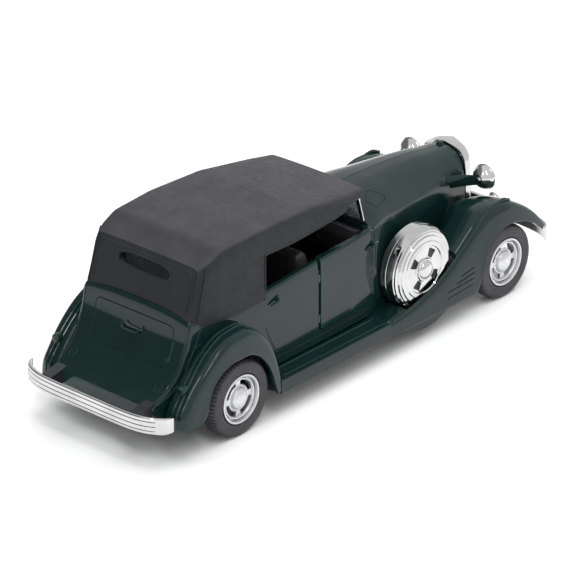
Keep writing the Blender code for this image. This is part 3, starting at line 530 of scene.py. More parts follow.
def on_skin(ob, points, direction, lift=0.0):
    """Points thrown along a direction onto a mesh, then lifted off it along its normal."""
    tree = skin_tree(ob)
    out = []
    for p in placed(points):
        hit, normal, _, _ = tree.ray_cast(Vector(p) - Vector(direction) * 0.03, Vector(direction), 0.08)
        if hit is None:
            continue
        q = np.array(hit + normal * lift * MM) / MM
        q[0] -= REAR_AXLE.x / MM
        out.append(q)
    return np.array(out)


def on_skin_of(ob, points, count=90):
    """A curve through points, each moved to the nearest place on a mesh."""
    tree = skin_tree(ob)
    out = np.array([tree.find_nearest(Vector(p))[0] for p in placed(along(points, count))]) / MM
    out[:, 0] -= REAR_AXLE.x / MM
    return out


def groove(path, radius=0.2, closed=True, up=(0, 0, 1)):
    return swept("groove", path, circle(radius, 8), closed, up)


body = ring_solid("body_shell", body_grid())
solid_skin = body.copy()
solid_skin.data = body.data.copy()
carve(body, casting_core())
cockpit = [(-9.4, -18.5), (38.0, -18.8), (56.0, -18.2), (61.6, -17.3)]
cockpit += [(x, -y) for x, y in reversed(cockpit)]
carve(body, prism("cockpit", cockpit, "z", 30.0, 60.0))
for side in (-1, 1):
    carve(body, prism("door_hole", door_outline(DOOR_GAP), "y", *sorted((side * 17.6, side * 24.0))))
    gap = (HINGE_X - 0.65, DOOR_X0 + 0.4)
    pillar_gap = [(gap[0], DOOR_Z0), (gap[1], DOOR_Z0), (gap[1], 46.0), (gap[0], 46.0)]
    carve(body, prism("pillar_gap", pillar_gap, "y", *sorted((side * 17.0, side * 24.0))))
    inward = (0, -side, 0)
    # rear door line and sill seam
    door_line = rounded([(16.9, 35.6), (16.8, 23.4), (21.0, 15.6), (38.2, 15.4)], 1.6, 8)[8:-8]
    door_line = along(np.stack([door_line[:, 0], np.full(16, side * 24.0), door_line[:, 1]], axis=1), 60)
    carve(body, groove(on_skin(solid_skin, door_line, inward), 0.17, False, (0, 1, 0)))
    sill = along([(17.5, side * 24.0, 13.9), (62.0, side * 24.0, 13.9)], 40)
    carve(body, groove(on_skin(solid_skin, sill, inward), 0.18, False, (0, 1, 0)))
    # cowl vent hatch
    hatch = [(68.2, side * 11.6), (72.8, side * 8.2), (76.6, side * 12.0), (70.6, side * 14.4)]
    hatch = rounded(hatch, 0.8)
    hatch = along(np.array([*hatch, hatch[0]]), 60)[:-1]
    hatch = np.stack([hatch[:, 0], hatch[:, 1], np.full(len(hatch), 50.0)], axis=1)
    carve(body, groove(on_skin(solid_skin, hatch, (0, 0, -1)), 0.17, True))
# luggage lid, the hinge line along the hood and the recess behind the lid's handle
corner = rounded([(14.6, 34.7), (14.4, 23.8), (-14.4, 23.8), (-14.6, 34.7)], 2.2, 8)
corner = along(np.array([*corner, corner[0]]), 140)[:-1]
lid = on_skin(solid_skin, np.stack([np.full(139, -FAR), corner[:, 0], corner[:, 1]], axis=1), (1, 0, 0))
carve(body, groove(lid, 0.20, True, (1, 0, 0)))
hood_line = along([(64.0, 0, 50.0), (115.5, 0, 50.0)], 60)
carve(body, groove(on_skin(solid_skin, hood_line, (0, 0, -1)), 0.13, False, (0, 1, 0)))
recess = rounded([(3.6, 32.0), (3.6, 29.3), (-3.6, 29.3), (-3.6, 32.0)], 0.8)
carve(body, prism("recess", recess, "x", -17.6, -14.6))


def bead(target, points, direction, radius, closed=False, up=(1, 0, 0)):
    """Raised round line half sunk in the skin."""
    path = on_skin(solid_skin, along(points, 70), direction)
    return joined(target, swept("bead", path, circle(radius, 10), closed, up))


handle = along([(-15.2, 3.0, 31.3), (-16.2, 2.9, 30.3), (-16.4, 2.2, 29.9), (-16.4, -2.2, 29.9),
                (-16.2, -2.9, 30.3), (-15.2, -3.0, 31.3)], 40)
joined(body, swept("lid_handle", handle, circle(0.28, 10), up=(1, 0, 0)))
for side in (-1, 1):
    edge = [(-FAR, side * y, z) for y, z in ((19.15, 37.2), (19.1, 33.0), (18.9, 25.2), (18.6, 20.2),
                                             (18.1, 17.2))]
    bead(body, edge, (1, 0, 0), 0.20)
    edge = [(-9.4, 34.6), (-11.4, 30.6), (-14.2, 26.0), (-17.0, 22.0), (-21.0, 18.8), (-25.5, 16.8)]
    edge = [(x, side * FAR, z) for x, z in edge]
    bead(body, edge, (0, -side, 0), 0.20, up=(0, 1, 0))
    # reflector rims on the tail
    a = turns(33)
    rim = np.stack([np.full(33, -FAR), side * 16.0 + 1.0 * np.cos(a), 19.9 + 0.9 * np.sin(a)], axis=1)
    joined(body, swept("rim", on_skin(solid_skin, rim, (1, 0, 0), 0.05), circle(0.16, 8), True, (1, 0, 0)))
bpy.data.objects.remove(solid_skin, do_unlink=True)
carve(body, turned("axle_gap", [(0, -30), (1.6, -30), (1.6, 30), (0, 30)], (0, 0, AXLE_Z), "y", 48))
piece(body, "casting", GREEN, ["body_shell"], 28)

# ---------------- doors
skin = ring_solid("door", body_grid(x_lo=37.0, x_hi=77.0, step=0.7))
carve(skin, ring_solid("door_core", body_grid(inset=WALL, sink=6.0, x_lo=37.0, x_hi=77.0, step=1.6)))
carve(skin, prism("door_cut", door_outline(), "y", -24.0, -18.0), "INTERSECT")


def lever(x, z, y, lean, length):
    """Door handle: a rosette and a tapering lever, standing off the skin at y."""
    rose = turned("rose", [(0, -0.5), (0.8, -0.5), (0.8, 0.1), (0.6, 0.35), (0, 0.45)], (x, y, z), "y", 32)
    path = along([(x, y - 0.45, z), (x - length * 0.5, y - 0.75, z - lean * 0.5),
                  (x - length, y - 0.55, z - lean)], 20)
    grow = np.linspace(1.25, 0.75, 20)[:, None, None]
    section = circle(0.42, 12, 0.8)
    rings = path[:, None] + np.stack([section[:, 0] * 0, section[:, 0], section[:, 1]], axis=1)[None] * grow
    return joined(rose, ring_solid("lever", rings))


grab = lever(63.2, 33.2, -19.25, 0.9, 3.2)
KNUCKLES = ((18.0, 20.4), (30.5, 32.9))
knuckles = []
for low, high in KNUCKLES:
    barrel = [(0.4, low), (0.62, low), (0.62, high), (0.4, high)]
    knuckles.append(turned("knuckle", barrel, (HINGE_X, HINGE_Y, 0), "z", 32))
lug = [(HINGE_X + 0.45, -20.1), (DOOR_X0 + 0.5, -20.1), (DOOR_X0 + 0.5, -19.2), (HINGE_X + 0.45, -19.3)]
lugs = [prism("lug", lug, "z", low, high) for low, high in KNUCKLES]
joined(skin, grab, *knuckles, *lugs)
both_sides(skin, "door_{}_skin", GREEN, ["door_front_{}"], 28, "door_{}")

# ---------------- fenders and running boards
# row: (x, z) on the crown line, (x, z) on the rim of the wheel opening
REAR_FENDER = [
    (-24.6, 10.9, -17.4, 10.3), (-24.3, 14.0, -16.0, 11.2), (-21.8, 18.1, -14.5, 13.6),
    (-17.8, 22.9, -13.5, 17.0), (-14.0, 26.3, -11.7, 20.4), (-9.6, 29.5, -8.3, 23.0),
    (-4.0, 31.9, -3.0, 24.5), (1.5, 32.2, 2.0, 24.4), (6.3, 30.3, 6.3, 22.4), (10.4, 26.6, 9.3, 19.0),
    (13.2, 21.6, 11.2, 15.6), (15.0, 15.8, 12.6, 11.6), (16.2, 9.3, 14.0, 7.7),
]
FRONT_FENDER = [
    (60.0, 11.4, 60.2, 7.3), (70.0, 12.9, 70.5, 7.0), (78.0, 15.2, 80.0, 6.9), (85.5, 18.6, 88.0, 6.9),
    (91.5, 22.6, 94.0, 6.9), (96.5, 26.2, 98.8, 6.9), (100.2, 28.7, 100.9, 9.6), (104.0, 30.4, 101.9, 13.7),
    (108.0, 31.0, 103.8, 17.8), (112.0, 30.8, 107.9, 21.9), (116.0, 29.7, 113.5, 23.6),
    (120.0, 27.7, 118.5, 22.9), (123.6, 25.3, 122.0, 21.6), (126.9, 22.3, 124.9, 19.9),
    (128.8, 20.1, 127.0, 18.1), (130.1, 18.3, 128.7, 16.7),
]
FENDER_ROOT_X = (60.0, 78.0, 92.0, 104.0, 110.0, 116.0, 120.0, 132.0)
FENDER_ROOT_Y = (19.2, 15.9, 12.3, 10.0, 10.4, 14.2, 16.3, 17.5)
FENDER_OUT = 27.6


def fender_ring(row, outer, thick, root):
    """Section of a fender from its root over the crown to the rolled rim, and back along the lining."""
    ox, oz, ax, az = row
    t = thick / math.hypot(ox - ax, oz - az)
    skin = [(root, outer[0]), (outer[1], outer[2]), (22.9, 1.0), (25.0, 0.985), (26.4, 0.92), (27.15, 0.80),
            (27.45, 0.55), (27.5, 0.2)]
    curve = along(skin, 30)
    bead = [(FENDER_OUT, 0.10), (FENDER_OUT + 0.05, 0.04), (27.5, 0.0), (26.5, 0.0)]
    lining = along([(26.35, 0.1), (26.3, 0.4), (26.1, 0.72 - t * 0.4), (24.8, 0.96 - t), (22.7, 0.98 - t),
                    (outer[1], outer[2] - t), (root, outer[0] - t)], 20)
    return [(ax + (ox - ax) * f, -y, az + (oz - az) * f) for y, f in [*curve, *bead, *lining]]


def fine_rows(rows, step):
    rows = np.array(rows)
    s = run_lengths(rows[:, :2])
    return pchip(s, rows, np.linspace(0, s[-1], int(s[-1] / step)))


rear_rings = [fender_ring(row, (0.86, 21.0, 0.97), 1.2, 19.7) for row in fine_rows(REAR_FENDER, 0.7)]
rear = ring_solid("fender", rear_rings)
front_rings = []
for row in fine_rows(FRONT_FENDER, 0.7):
    inner = float(np.interp(row[0], FENDER_ROOT_X, FENDER_ROOT_Y))
    mid = (inner + 22.9) / 2
    drop = float(np.interp(row[0], (60.0, 84.0, 100.0, 118.0), (0.02, 0.1, 0.2, 0.14)))
    front_rings.append(fender_ring(row, (1.0 - drop * 2.2, mid, 1.0 - drop * 0.5), 1.3, inner))
front = ring_solid("front_fender", front_rings)
well = [(0, -26.2), (12.9, -26.2), (12.9, -17.4), (0, -17.4)]
carve(front, turned("well", well, (SPARE_X, 0, SPARE_Z), "y", 96))
# running board with a rolled outer edge and two raised lines
board = [(-19.7, 11.2), (-27.5, 11.4), (-27.6, 7.2), (-26.3, 7.2), (-26.3, 10.1), (-19.7, 10.1)]
board = rounded(board, 0.35, 5)
board = np.array([(x, y, z) for x in (15.2, 61.4) for y, z in board]).reshape(2, -1, 3)
share = np.linspace(0, 1, 60)[:, None, None]
board = ring_solid("board", board[0] * (1 - share) + board[1] * share)
trims = [swept("board_line", [(18.0, y, 11.25), (40.0, y, 11.25), (61.0, y, 11.25)], circle(0.2, 10))
         for y in (-25.6, -21.4)]
# raised feather lines: a double ridge over the rear fender, four slanted strokes on the front one
ridges = []
for shift in (0.0, 1.5):
    line = [(-24.5, -23.0 - shift, 12.2), (-24.2, -23.0 - shift, 14.3), (-21.6, -22.9 - shift, 18.4),
            (-17.6, -22.6 - shift, 23.1), (-12.0, -22.2 - shift, 28.1), (-5.0, -22.0 - shift, 31.6),
            (1.5, -21.9 - shift, 32.2), (6.4, -21.9 - shift, 30.2)]
    ridges.append(swept("ridge", along(line, 60), circle(0.26, 8), up=(0, 1, 0)))
SPEED_LINES = [(92.6, 14.9, 98.2, 15.5), (90.6, 13.1, 98.1, 13.9), (86.6, 11.7, 97.9, 12.2),
               (86.4, 9.8, 97.6, 10.4)]
strokes = []
for x0, z0, x1, z1 in SPEED_LINES:
    line = along([(x0, -27.5, z0), ((x0 + x1) / 2, -27.5, (z0 + z1) / 2), (x1, -27.5, z1)], 24)
    strokes.append(swept("stroke", line, circle(0.24, 10), up=(0, 1, 0)))
crest = [(62.8, -27.2, 11.9), (73.7, -27.1, 13.6), (84.0, -26.9, 17.2), (92.2, -26.6, 22.0),
         (98.0, -26.3, 25.9), (104.0, -25.6, 29.4), (110.0, -25.0, 30.7), (116.0, -24.9, 29.5)]
crest = swept("crest", on_skin_of(front, crest), circle(0.26, 10), up=(0, 1, 0))
joined(rear, front, board, crest, *trims, *ridges, *strokes)
both_sides(rear, "fender_{}_run", GREEN, ["fender_{}"], 30)
# arms that carry the headlamps, from the side of the hood
arm_rings = ([], [])
for a in turns(24):
    arm_rings[0].append((105.6 + 4.6 * math.cos(a), -6.2, 32.2 + 2.2 * math.sin(a)))
    arm_rings[1].append((114.8 + 1.3 * math.cos(a), -LAMP_Y + 0.4 - 1.1 * math.cos(a),
                         33.0 + 1.6 * math.sin(a)))
arm = np.array(arm_rings)
waist = np.linspace(0, 1, 9)[:, None, None]
arm = arm[0] * (1 - waist) + arm[1] * waist
arm[:, :, 2] += 0.5 * np.sin(np.pi * waist[:, :, 0])
both_sides(ring_solid("arm", arm), "lamp_arm_{}", GREEN, ["headlight_arm_{}"])

# ---------------- soft top
# rib: (x, half width, z) of the lower edge and of the shoulder, crown height at the middle
TOP_RIBS = np.array([
    (-13.4, 19.0, 35.6, -8.7, 18.3, 51.4, 0.3),
    (-10.6, 20.3, 35.2, -5.8, 19.5, 52.6, 0.3),
    (-4.0, 20.7, 34.2, -0.8, 19.9, 54.7, 0.4),
    (4.0, 20.7, 33.4, 14.0, 20.5, 55.2, 0.5),
    (17.4, 20.7, 33.8, 33.3, 19.7, 54.8, 0.5),
    (39.0, 20.4, 37.0, 52.0, 18.1, 52.2, 0.5),
    (60.4, 18.4, 39.0, 60.6, 17.0, 50.8, 0.4),
])


def smeared(values, width):
    """Running average along the first axis; rounds the corners of a finely sampled polyline."""
    pad = np.concatenate([np.repeat(values[:1], width, axis=0), values,
                          np.repeat(values[-1:], width, axis=0)])
    total = np.zeros_like(values)
    for k in range(2 * width + 1):
        total += pad[k:k + len(values)]
    out = total / (2 * width + 1)
    out[0] = values[0]
    out[-1] = values[-1]
    return out


def top_grid(inset, sink, step=0.55):
    s = run_lengths(TOP_RIBS[:, [3, 5]])
    at = np.arange(0, s[-1], step)
    at = np.append(at[:-1], s[-1])
    rows = np.stack([np.interp(at, s, TOP_RIBS[:, k]) for k in range(7)], axis=1)
    rows = smeared(rows, 2)
    grid = []
    for bx, by, bz, tx, ty, tz, crown in rows:
        bz = bz - sink
        half = []
        for f, g in ((0.0, 0.0), (0.22, 0.05), (0.45, 0.12), (0.64, 0.16), (0.82, 0.2), (0.93, 0.55),
                     (0.985, 0.95)):
            half.append((bx + (tx - bx) * f, by + (ty - by) * g - inset,
                         bz + (tz - bz) * f - (inset if f else 0.0)))
        half.append((tx, ty - 1.0 - inset, tz + 0.02 - inset))
        for f in (0.8, 0.55, 0.28):
            half.append((tx, ty * f, tz + crown * (1 - f ** 2) - inset))
        ring = [(x, -y, z) for x, y, z in half] + [(tx, 0.0, tz + crown - inset)]
        ring += [(x, y, z) for x, y, z in reversed(half)]
        ring = np.array(ring)
        fine = np.minimum(np.arange(0, len(ring) - 0.99, 0.34), len(ring) - 1)
        low = np.floor(fine).astype(int)
        part = (fine - low)[:, None]
        ring = ring[low] * (1 - part) + ring[np.minimum(low + 1, len(ring) - 1)] * part
        grid.append(smeared(ring, 1))
    return np.array(grid)


top = ring_solid("top", top_grid(0.0, 0.0))
welts = []
for side in (-1, 1):
    line = [(-40, side * y, z) for y, z in ((18.0, 51.0), (18.45, 44.6), (18.75, 37.8))]
    welts.append(swept("welt", on_skin(top, along(line, 40), (1, 0, 0)), circle(0.30, 10), up=(0, 1, 0)))
    line = [(x, side * 40, z) for x, z in ((-6.4, 51.6), (-8.4, 44.6), (-10.5, 37.2))]
    welts.append(swept("welt", on_skin(top, along(line, 40), (0, -side, 0)), circle(0.34, 10), up=(1, 0, 0)))
    hem = [(x, side * 40, z) for x, z in ((16.2, 36.5), (16.2, 47.3), (28.0, 47.0), (40.0, 47.4),
                                          (50.5, 48.2), (53.8, 49.4), (59.5, 49.4))]
    hem = on_skin(top, along(hem, 90), (0, -side, 0))
    welts.append(swept("hem", hem, circle(0.24, 10), up=(0, 1, 0)))
core = top_grid(WALL, 5.0, 1.2)
core[0, :, 0] += 1.6
core[-1, :, 0] -= 1.6
carve(top, ring_solid("top_core", core))
carve(top, ring_solid("top_clear", body_grid(inset=-0.12, step=1.4)))
window = rounded([(16.6, 30.0), (16.6, 47.0), (28.0, 46.6), (40.0, 47.0), (50.8, 47.8), (54.0, 49.0),
                  (66.0, 48.9), (66.0, 30.0)], 0.8)
carve(top, prism("window", window, "y", -26.0, 26.0))
LENS_HALF = 9.4
LENS_Z = 46.9
turn = 2 * math.pi * (np.arange(80) + 0.5) / 80
lens = np.stack([np.sign(np.cos(turn)) * np.abs(np.cos(turn)) ** 0.45 * LENS_HALF,
                 LENS_Z + np.sign(np.sin(turn)) * np.abs(np.sin(turn)) ** 0.8 * 2.1], axis=1)
carve(top, prism("lens", lens, "x", -16.0, -5.0))


def back_wall_x(z):
    """Where the slanting back wall of the soft-top lies at a height."""
    return -13.4 + (z - 35.6) * 4.8 / 15.8


# bound edges: piping round the back panel and the window, and a hem above the side openings
rim = rounded([(17.6, 37.2), (17.2, 50.2), (-17.2, 50.2), (-17.6, 37.2)], 2.5, 8)[7:-7]
piping = along(np.stack([back_wall_x(rim[:, 1]) + 0.02, rim[:, 0], rim[:, 1]], axis=1), 90)
piping = swept("piping", piping, circle(0.28, 10), up=(1, 0, 0))
frame_line = np.stack([back_wall_x(lens[:, 1]) - 0.02, lens[:, 0] * 1.045,
                       (lens[:, 1] - LENS_Z) * 1.16 + LENS_Z], axis=1)
bezel = swept("bezel", frame_line, circle(0.16, 10), True, up=(1, 0, 0))
joined(top, piping, bezel, *welts)
piece(top, "soft_top_moulding", TOP, ["soft_top"], 26)
pane = np.stack([lens[:, 0] * 1.13, LENS_Z + (lens[:, 1] - LENS_Z) * 1.4], axis=1)
pane_ring = np.stack([back_wall_x(pane[:, 1]) + 1.5, pane[:, 0], pane[:, 1]], axis=1)
pane = ring_solid("pane", [pane_ring, pane_ring + [0.5, 0, 0]])
piece(pane, "rear_pane", SMOKED, ["rear_window"])

# ---------------- windshield
SHIELD_X = 61.7
SHIELD_Z = 39.4
SHIELD_LEAN = 0.28


def shield_ring(half, z0, z1, radius):
    """Rounded rectangle standing in the leaning plane of the windshield."""
    flat = rounded([(-half, z0), (half, z0), (half, z1), (-half, z1)], radius, 6)
    return np.stack([SHIELD_X - (flat[:, 1] - SHIELD_Z) * SHIELD_LEAN, flat[:, 0], flat[:, 1]], axis=1)


bar = [(0.8 * math.cos(a), 0.45 * math.sin(a)) for a in turns(12)]
shield = swept("shield", shield_ring(16.1, 39.4, 48.1, 1.2) + [0.4, 0, 0], bar, True, up=(1, 0, 0.28))
piece(shield, "windshield_rim", CHROME, ["windshield_frame"])
glass = shield_ring(15.9, 39.8, 47.9, 1.0) + [0.3, 0, 0]
piece(ring_solid("glass", [glass, glass + [0.3, 0, 0]]), "windshield_pane", CLEAR, ["windshield_glass"])

# ---------------- interior
tub = prism("tub", [(16.4, 12.6), (61.0, 12.6), (61.0, 13.6), (17.0, 13.6), (17.0, 22.0), (-8.6, 22.0),
                    (-8.6, 21.0), (16.4, 21.0)], "y", -17.6, 17.6)
mat_rib = rounded([(18.5, 13.5), (59.5, 13.5), (59.5, 13.85), (18.5, 13.85)], 0.1, 3)
joined(tub, *[prism("mat_rib", mat_rib, "y", y - 0.35, y + 0.35) for y in np.arange(-15.0, 15.1, 1.5)])
piece(tub, "floor_pan", TRIM, ["interior_floor"])


def bench(name, x, z, back, height, half):
    """Pleated bench seat: cushion and leaning back, with rounded rolls across the width."""
    outline = rounded([(x - 2.0, z), (x + 12.0, z), (x + 13.0, z + 4.5), (x + 12.0, z + 6.0),
                       (x + 3.5, z + 5.4), (x + 0.6, z + height - 1.2), (x - 0.6, z + height),
                       (x - back, z + height - 0.6), (x - back, z + 5)], 1.3, 5)
    centre = outline.mean(axis=0)
    rings = []
    for y in np.linspace(-half, half, 121):
        pleat = abs(math.sin(math.pi * 7 * (y / half + 1) / 2))
        end = min(1.0, (half - abs(y)) / 0.8)
        inset = 0.42 * (1 - pleat ** 0.35) + 0.9 * (1 - math.sqrt(max(0.0, 1 - (1 - end) ** 2)))
        away = outline - centre
        scale = 1 - inset / np.maximum(np.linalg.norm(away, axis=1, keepdims=True), 0.1)
        ring = centre + away * np.minimum(scale, 1.0)
        rings.append(np.stack([ring[:, 0], np.full(len(ring), y), ring[:, 1]], axis=1))
    return ring_solid(name, rings)


piece(bench("bench", 38.0, 13.9, 3.4, 25.2, 15.6), "front_bench", TRIM, ["front_seat"])
piece(bench("bench", -3.2, 22.3, 3.6, 14.6, 16.6), "rear_bench", TRIM, ["rear_seat"])
dash = rounded([(57.6, 30.0), (60.9, 29.4), (60.9, 37.6), (58.4, 38.0), (57.2, 35.6)], 0.6, 5)
dash = bevelled(prism("dash", dash, "y", -16.4, 16.4), 0.2)
dial = [(0, 0.2), (0.9, 0.2), (1.15, -0.2), (1.4, -0.2), (1.4, 0.6), (0, 0.6)]
joined(dash, *[turned("dial", dial, (57.3, y, 33.6), "x", 40) for y in (-4.5, 0.0, 4.5, 8.5)])
piece(dash, "dash_panel", TRIM, ["dashboard"])
WHEEL_TILT = math.radians(-56.0)
WHEEL_HUB = Vector((50.6, 8.5, 36.8))
wire = [(5.3 + 0.48 * math.cos(a), 0.48 * math.sin(a)) for a in turns(14)]
hoop = turned("hoop", wire, (0, 0, 0), "z", 72)
boss = [(0, -1.1), (1.2, -1.1), (1.3, -0.3), (1.0, 0.3), (0.5, 0.5), (0, 0.55)]
boss = turned("boss", boss, (0, 0, 0), "z", 32)
spokes = []
for a in math.pi / 2 + 2 * math.pi * np.arange(3) / 3:
    reach = np.array([math.cos(a), math.sin(a), 0.0])
    spokes.append(swept("spoke", [reach * 0.6 + [0, 0, -0.3], reach * 3.0 + [0, 0, -0.2], reach * 5.2],
                        circle(0.34, 12, 0.6)))
joined(hoop, boss, *spokes)
hoop.data.transform(Matrix.Translation((-REAR_AXLE.x, 0, 0)))
hub_at = Vector(placed([tuple(WHEEL_HUB)])[0])
hoop.data.transform(Matrix.Translation(hub_at) @ Matrix.Rotation(WHEEL_TILT, 4, "Y"))
piece(hoop, "steering_hoop", BLACK, ["steering_wheel"])

# ---------------- radiator and filler cap
RAD_HALF = [(7.4, 17.0), (8.1, 19.0), (8.5, 25.0), (8.5, 31.0), (8.2, 35.0), (7.5, 37.6), (5.8, 39.6),
            (3.2, 40.4)]


def radiator_ring(x, inset, prow):
    half = [(y - inset, z - (inset if z > 30 else -inset if z < 18 else 0)) for y, z in RAD_HALF]
    half = along(half, 30)
    ring = [(-y, z) for y, z in half] + [(0.0, 40.9 - inset)] + [(y, z) for y, z in half[::-1]]
    ring.append((0.0, 17.0 + inset))
    return [(x + prow * (1.0 - abs(y) / 8.5), y, z) for y, z in ring]


surround = [(116.5, 0.0, 0.0), (117.6, 0.02, 0.9), (118.4, 0.0, 1.6), (118.8, 0.08, 2.0), (119.0, 0.3, 2.2),
            (119.05, 0.7, 2.25), (118.95, 1.1, 2.2)]
shell = ring_solid("shell", [radiator_ring(*row) for row in surround])
carve(shell, ring_solid("recess", [radiator_ring(118.2, 1.45, 2.2), radiator_ring(123.0, 1.45, 2.2)]))
piece(shell, "radiator_surround", CHROME, ["radiator_shell"], 26)
core = ring_solid("core", [radiator_ring(118.3, 1.6, 2.2), radiator_ring(118.75, 1.6, 2.2)])
slats = []
for k in np.arange(-9, 10):
    y = k * 0.68
    x = 118.65 + 2.2 * (1.0 - abs(y) / 8.5)
    hi = 38.6 - 0.042 * k * k
    section = rounded([(x - 0.3, y - 0.16), (x + 0.42, y - 0.12), (x + 0.42, y + 0.12),
                       (x - 0.3, y + 0.16)], 0.08, 4)
    slats.append(prism("slat", section, "z", 18.8, hi))
spine = rounded([(120.2, -0.35), (121.35, -0.22), (121.35, 0.22), (120.2, 0.35)], 0.15, 4)
spine = prism("spine", spine, "z", 18.3, 39.2)
joined(core, *slats, spine)
piece(core, "radiator_slats", CHROME, ["radiator_grille"])
CAP = [(0, 0.0), (1.1, 0.0), (1.1, 0.35), (0.95, 0.5), (0.95, 0.75), (0.75, 1.0), (0.3, 1.15), (0, 1.18)]


def knurl(angle, row):
    """Sixteen finger grips round the rim of the cap."""
    return np.where(row in (1, 2), 0.05 * np.cos(16 * angle), 0.0)


cap = turned("cap", CAP, (114.6, 0, 40.35), "z", 48, knurl)
piece(cap, "filler_cap", GREEN, ["radiator_cap"])

# ---------------- headlamps and horns
BELL = [(0, -2.5), (0.5, -2.45), (0.85, -2.2), (0.95, -1.95), (1.3, -1.9), (1.55, -2.05), (1.8, -1.9),
        (2.4, -1.55), (3.0, -0.95), (3.4, -0.3), (3.65, 0.4), (3.75, 0.7), (3.9, 0.85), (3.9, 1.2),
        (3.75, 1.4), (3.55, 1.4), (3.35, 1.2), (3.15, 0.4), (2.0, -0.9), (0, -1.4)]
LAMP_GLASS = [(0, 0.3), (3.1, 0.3), (3.3, 1.1), (2.8, 1.5), (2.1, 1.8), (1.2, 2.0), (0, 2.1)]
for side, tag in ((-1, "right"), (1, "left")):
    centre = (LAMP_X, side * LAMP_Y, LAMP_Z)
    bell = turned("bell", BELL, centre, "x", 96)
    piece(bell, "lamp_bell_" + tag, CHROME, ["headlight_bell_" + tag])
    glass = turned("lamp_glass", LAMP_GLASS, centre, "x", 96)
    flutes = []
    for k in np.arange(-6, 7):
        y = k * 0.45
        reach = math.sqrt(8.2 - y * y)
        x = LAMP_X + 2.05 - 0.075 * y * y
        line = [(x - 0.075 * h * h, side * LAMP_Y + y, LAMP_Z + h) for h in np.linspace(-reach, reach, 13)]
        flutes.append(swept("flute", line, circle(0.12, 8), up=(1, 0, 0)))
    joined(glass, *flutes)
    piece(glass, "lamp_glass_" + tag, CLEAR, ["headlight_lens_" + tag])
    trumpet = [(0, -5.0), (0.75, -5.0), (0.9, -4.6), (0.9, -3.4), (0.65, -3.2), (0.7, 0.0), (0.85, 2.2),
               (1.15, 3.6), (1.6, 4.6), (2.25, 5.3), (2.3, 5.5), (2.1, 5.6), (1.4, 4.9), (0.8, 3.6), (0, 3.4)]
    horn = turned("horn", trumpet, (121.4, side * 10.6, 21.6), "x", 64)
    piece(horn, "trumpet_" + tag, CHROME, ["horn_" + tag])

# ---------------- bumpers
BLADE_HALF = 26.6
BLADE = [(-2.5, 0.0), (-2.45, 0.3), (-2.2, 0.55), (-1.5, 0.68), (-1.36, 0.25), (-1.22, 0.70), (-0.14, 0.75),
         (0.0, 0.3), (0.14, 0.75), (1.22, 0.70), (1.36, 0.25), (1.5, 0.68), (2.2, 0.55), (2.45, 0.3),
         (2.5, 0.0), (2.3, -0.6), (-2.3, -0.6)]
BLADE_PLAIN = [p for p in BLADE if p[1] not in (0.25, 0.3) or abs(p[0]) > 2.0]


def blade_ring(outline, u, end_x, bulge, z_mid, sign, grow=0.0):
    """Section of a bowed blade at u from -1 to 1 along its width; its face bows out flat-topped."""
    past = max(0.0, (abs(u) - 0.95) / 0.05)
    scale = 1.0 - 0.14 * past ** 2
    x = end_x + sign * bulge * (1 - abs(u) ** 6) - sign * 0.8 * past ** 2
    return [(x + sign * (d + grow) * scale, BLADE_HALF * u, z_mid + h * scale) for h, d in outline]


def bumper(end_x, bulge, z_mid, sign):
    """Bowed blade with three grooves, stopped short by plain ends; sign is the way it faces along x."""
    place = (end_x, bulge, z_mid, sign)
    across = np.sin(np.linspace(-1, 1, 101) * math.pi / 2)
    blade = ring_solid("blade", [blade_ring(BLADE, u, *place) for u in across])
    ends = []
    for side in (-1, 1):
        rings = [blade_ring(BLADE_PLAIN, side * u, *place, 0.06) for u in np.linspace(0.9, 0.998, 24)]
        ends.append(ring_solid("sleeve", rings))
    return joined(blade, *ends)


rear_bumper = bumper(-28.6, 5.0, 14.4, -1)
front_bumper = bumper(131.8, 3.6, 14.0, 1)
brackets = []
for side in (-1, 1):
    outline = rounded([(-32.9, 16.2), (-28.4, 16.9), (-24.0, 18.0), (-22.0, 13.5), (-28.0, 12.8),
                       (-32.9, 13.4)], 0.5, 4)
    brackets.append(prism("iron", outline, "y", *sorted((side * 14.8, side * 18.4))))
    outline = rounded([(135.0, 15.2), (129.0, 14.9), (124.0, 11.0), (118.0, 10.2), (118.0, 9.0), (124.6, 9.0),
                       (130.0, 12.6), (135.0, 12.8)], 0.5, 4)
    joined(front_bumper, prism("iron", outline, "y", *sorted((side * 12.2, side * 14.4))))
piece(joined(*brackets), "bumper_brackets", BLUED_AND_GAP_SHADE)
piece(rear_bumper, "bumper_rear", CHROME, ["rear_bumper"], 24)
piece(front_bumper, "bumper_front", CHROME, ["front_bumper"], 24)

# ---------------- side-mounted spares
SPARE_TYRE = [(8.0, 21.6), (8.0, 18.6), (10.6, 18.0), (11.6, 18.6), (11.95, 19.6), (12.0, 22.0),
              (11.6, 22.9), (10.9, 22.9)]
COVER = [(0, 26.9), (0.9, 26.85), (1.7, 26.65), (2.3, 26.3), (2.6, 25.95), (2.7, 25.7), (3.0, 25.9),
         (3.3, 25.85), (3.45, 25.4), (3.7, 25.2), (6.6, 25.1), (7.0, 25.2), (7.2, 25.55), (7.5, 25.65),
         (8.4, 25.7), (8.65, 25.45), (8.9, 25.5), (9.9, 25.5), (10.1, 25.15), (10.4, 25.25), (10.9, 25.15),
         (11.1, 24.75), (11.4, 24.75), (11.85, 24.4), (11.95, 23.95), (12.2, 23.7), (12.4, 22.8),
         (12.4, 21.9), (12.3, 21.8), (12.3, 21.2), (12.4, 21.1), (12.4, 19.4), (12.2, 19.4), (12.1, 22.4),
         (11.8, 23.5), (11.2, 24.0), (0, 24.0)]
tyre = turned("spare", [(r, -y) for r, y in SPARE_TYRE], (SPARE_X, 0, SPARE_Z), "y", 120)
both_sides(tyre, "spare_rubber_{}", RUBBER, ["spare_tyre_{}"])
pits = []
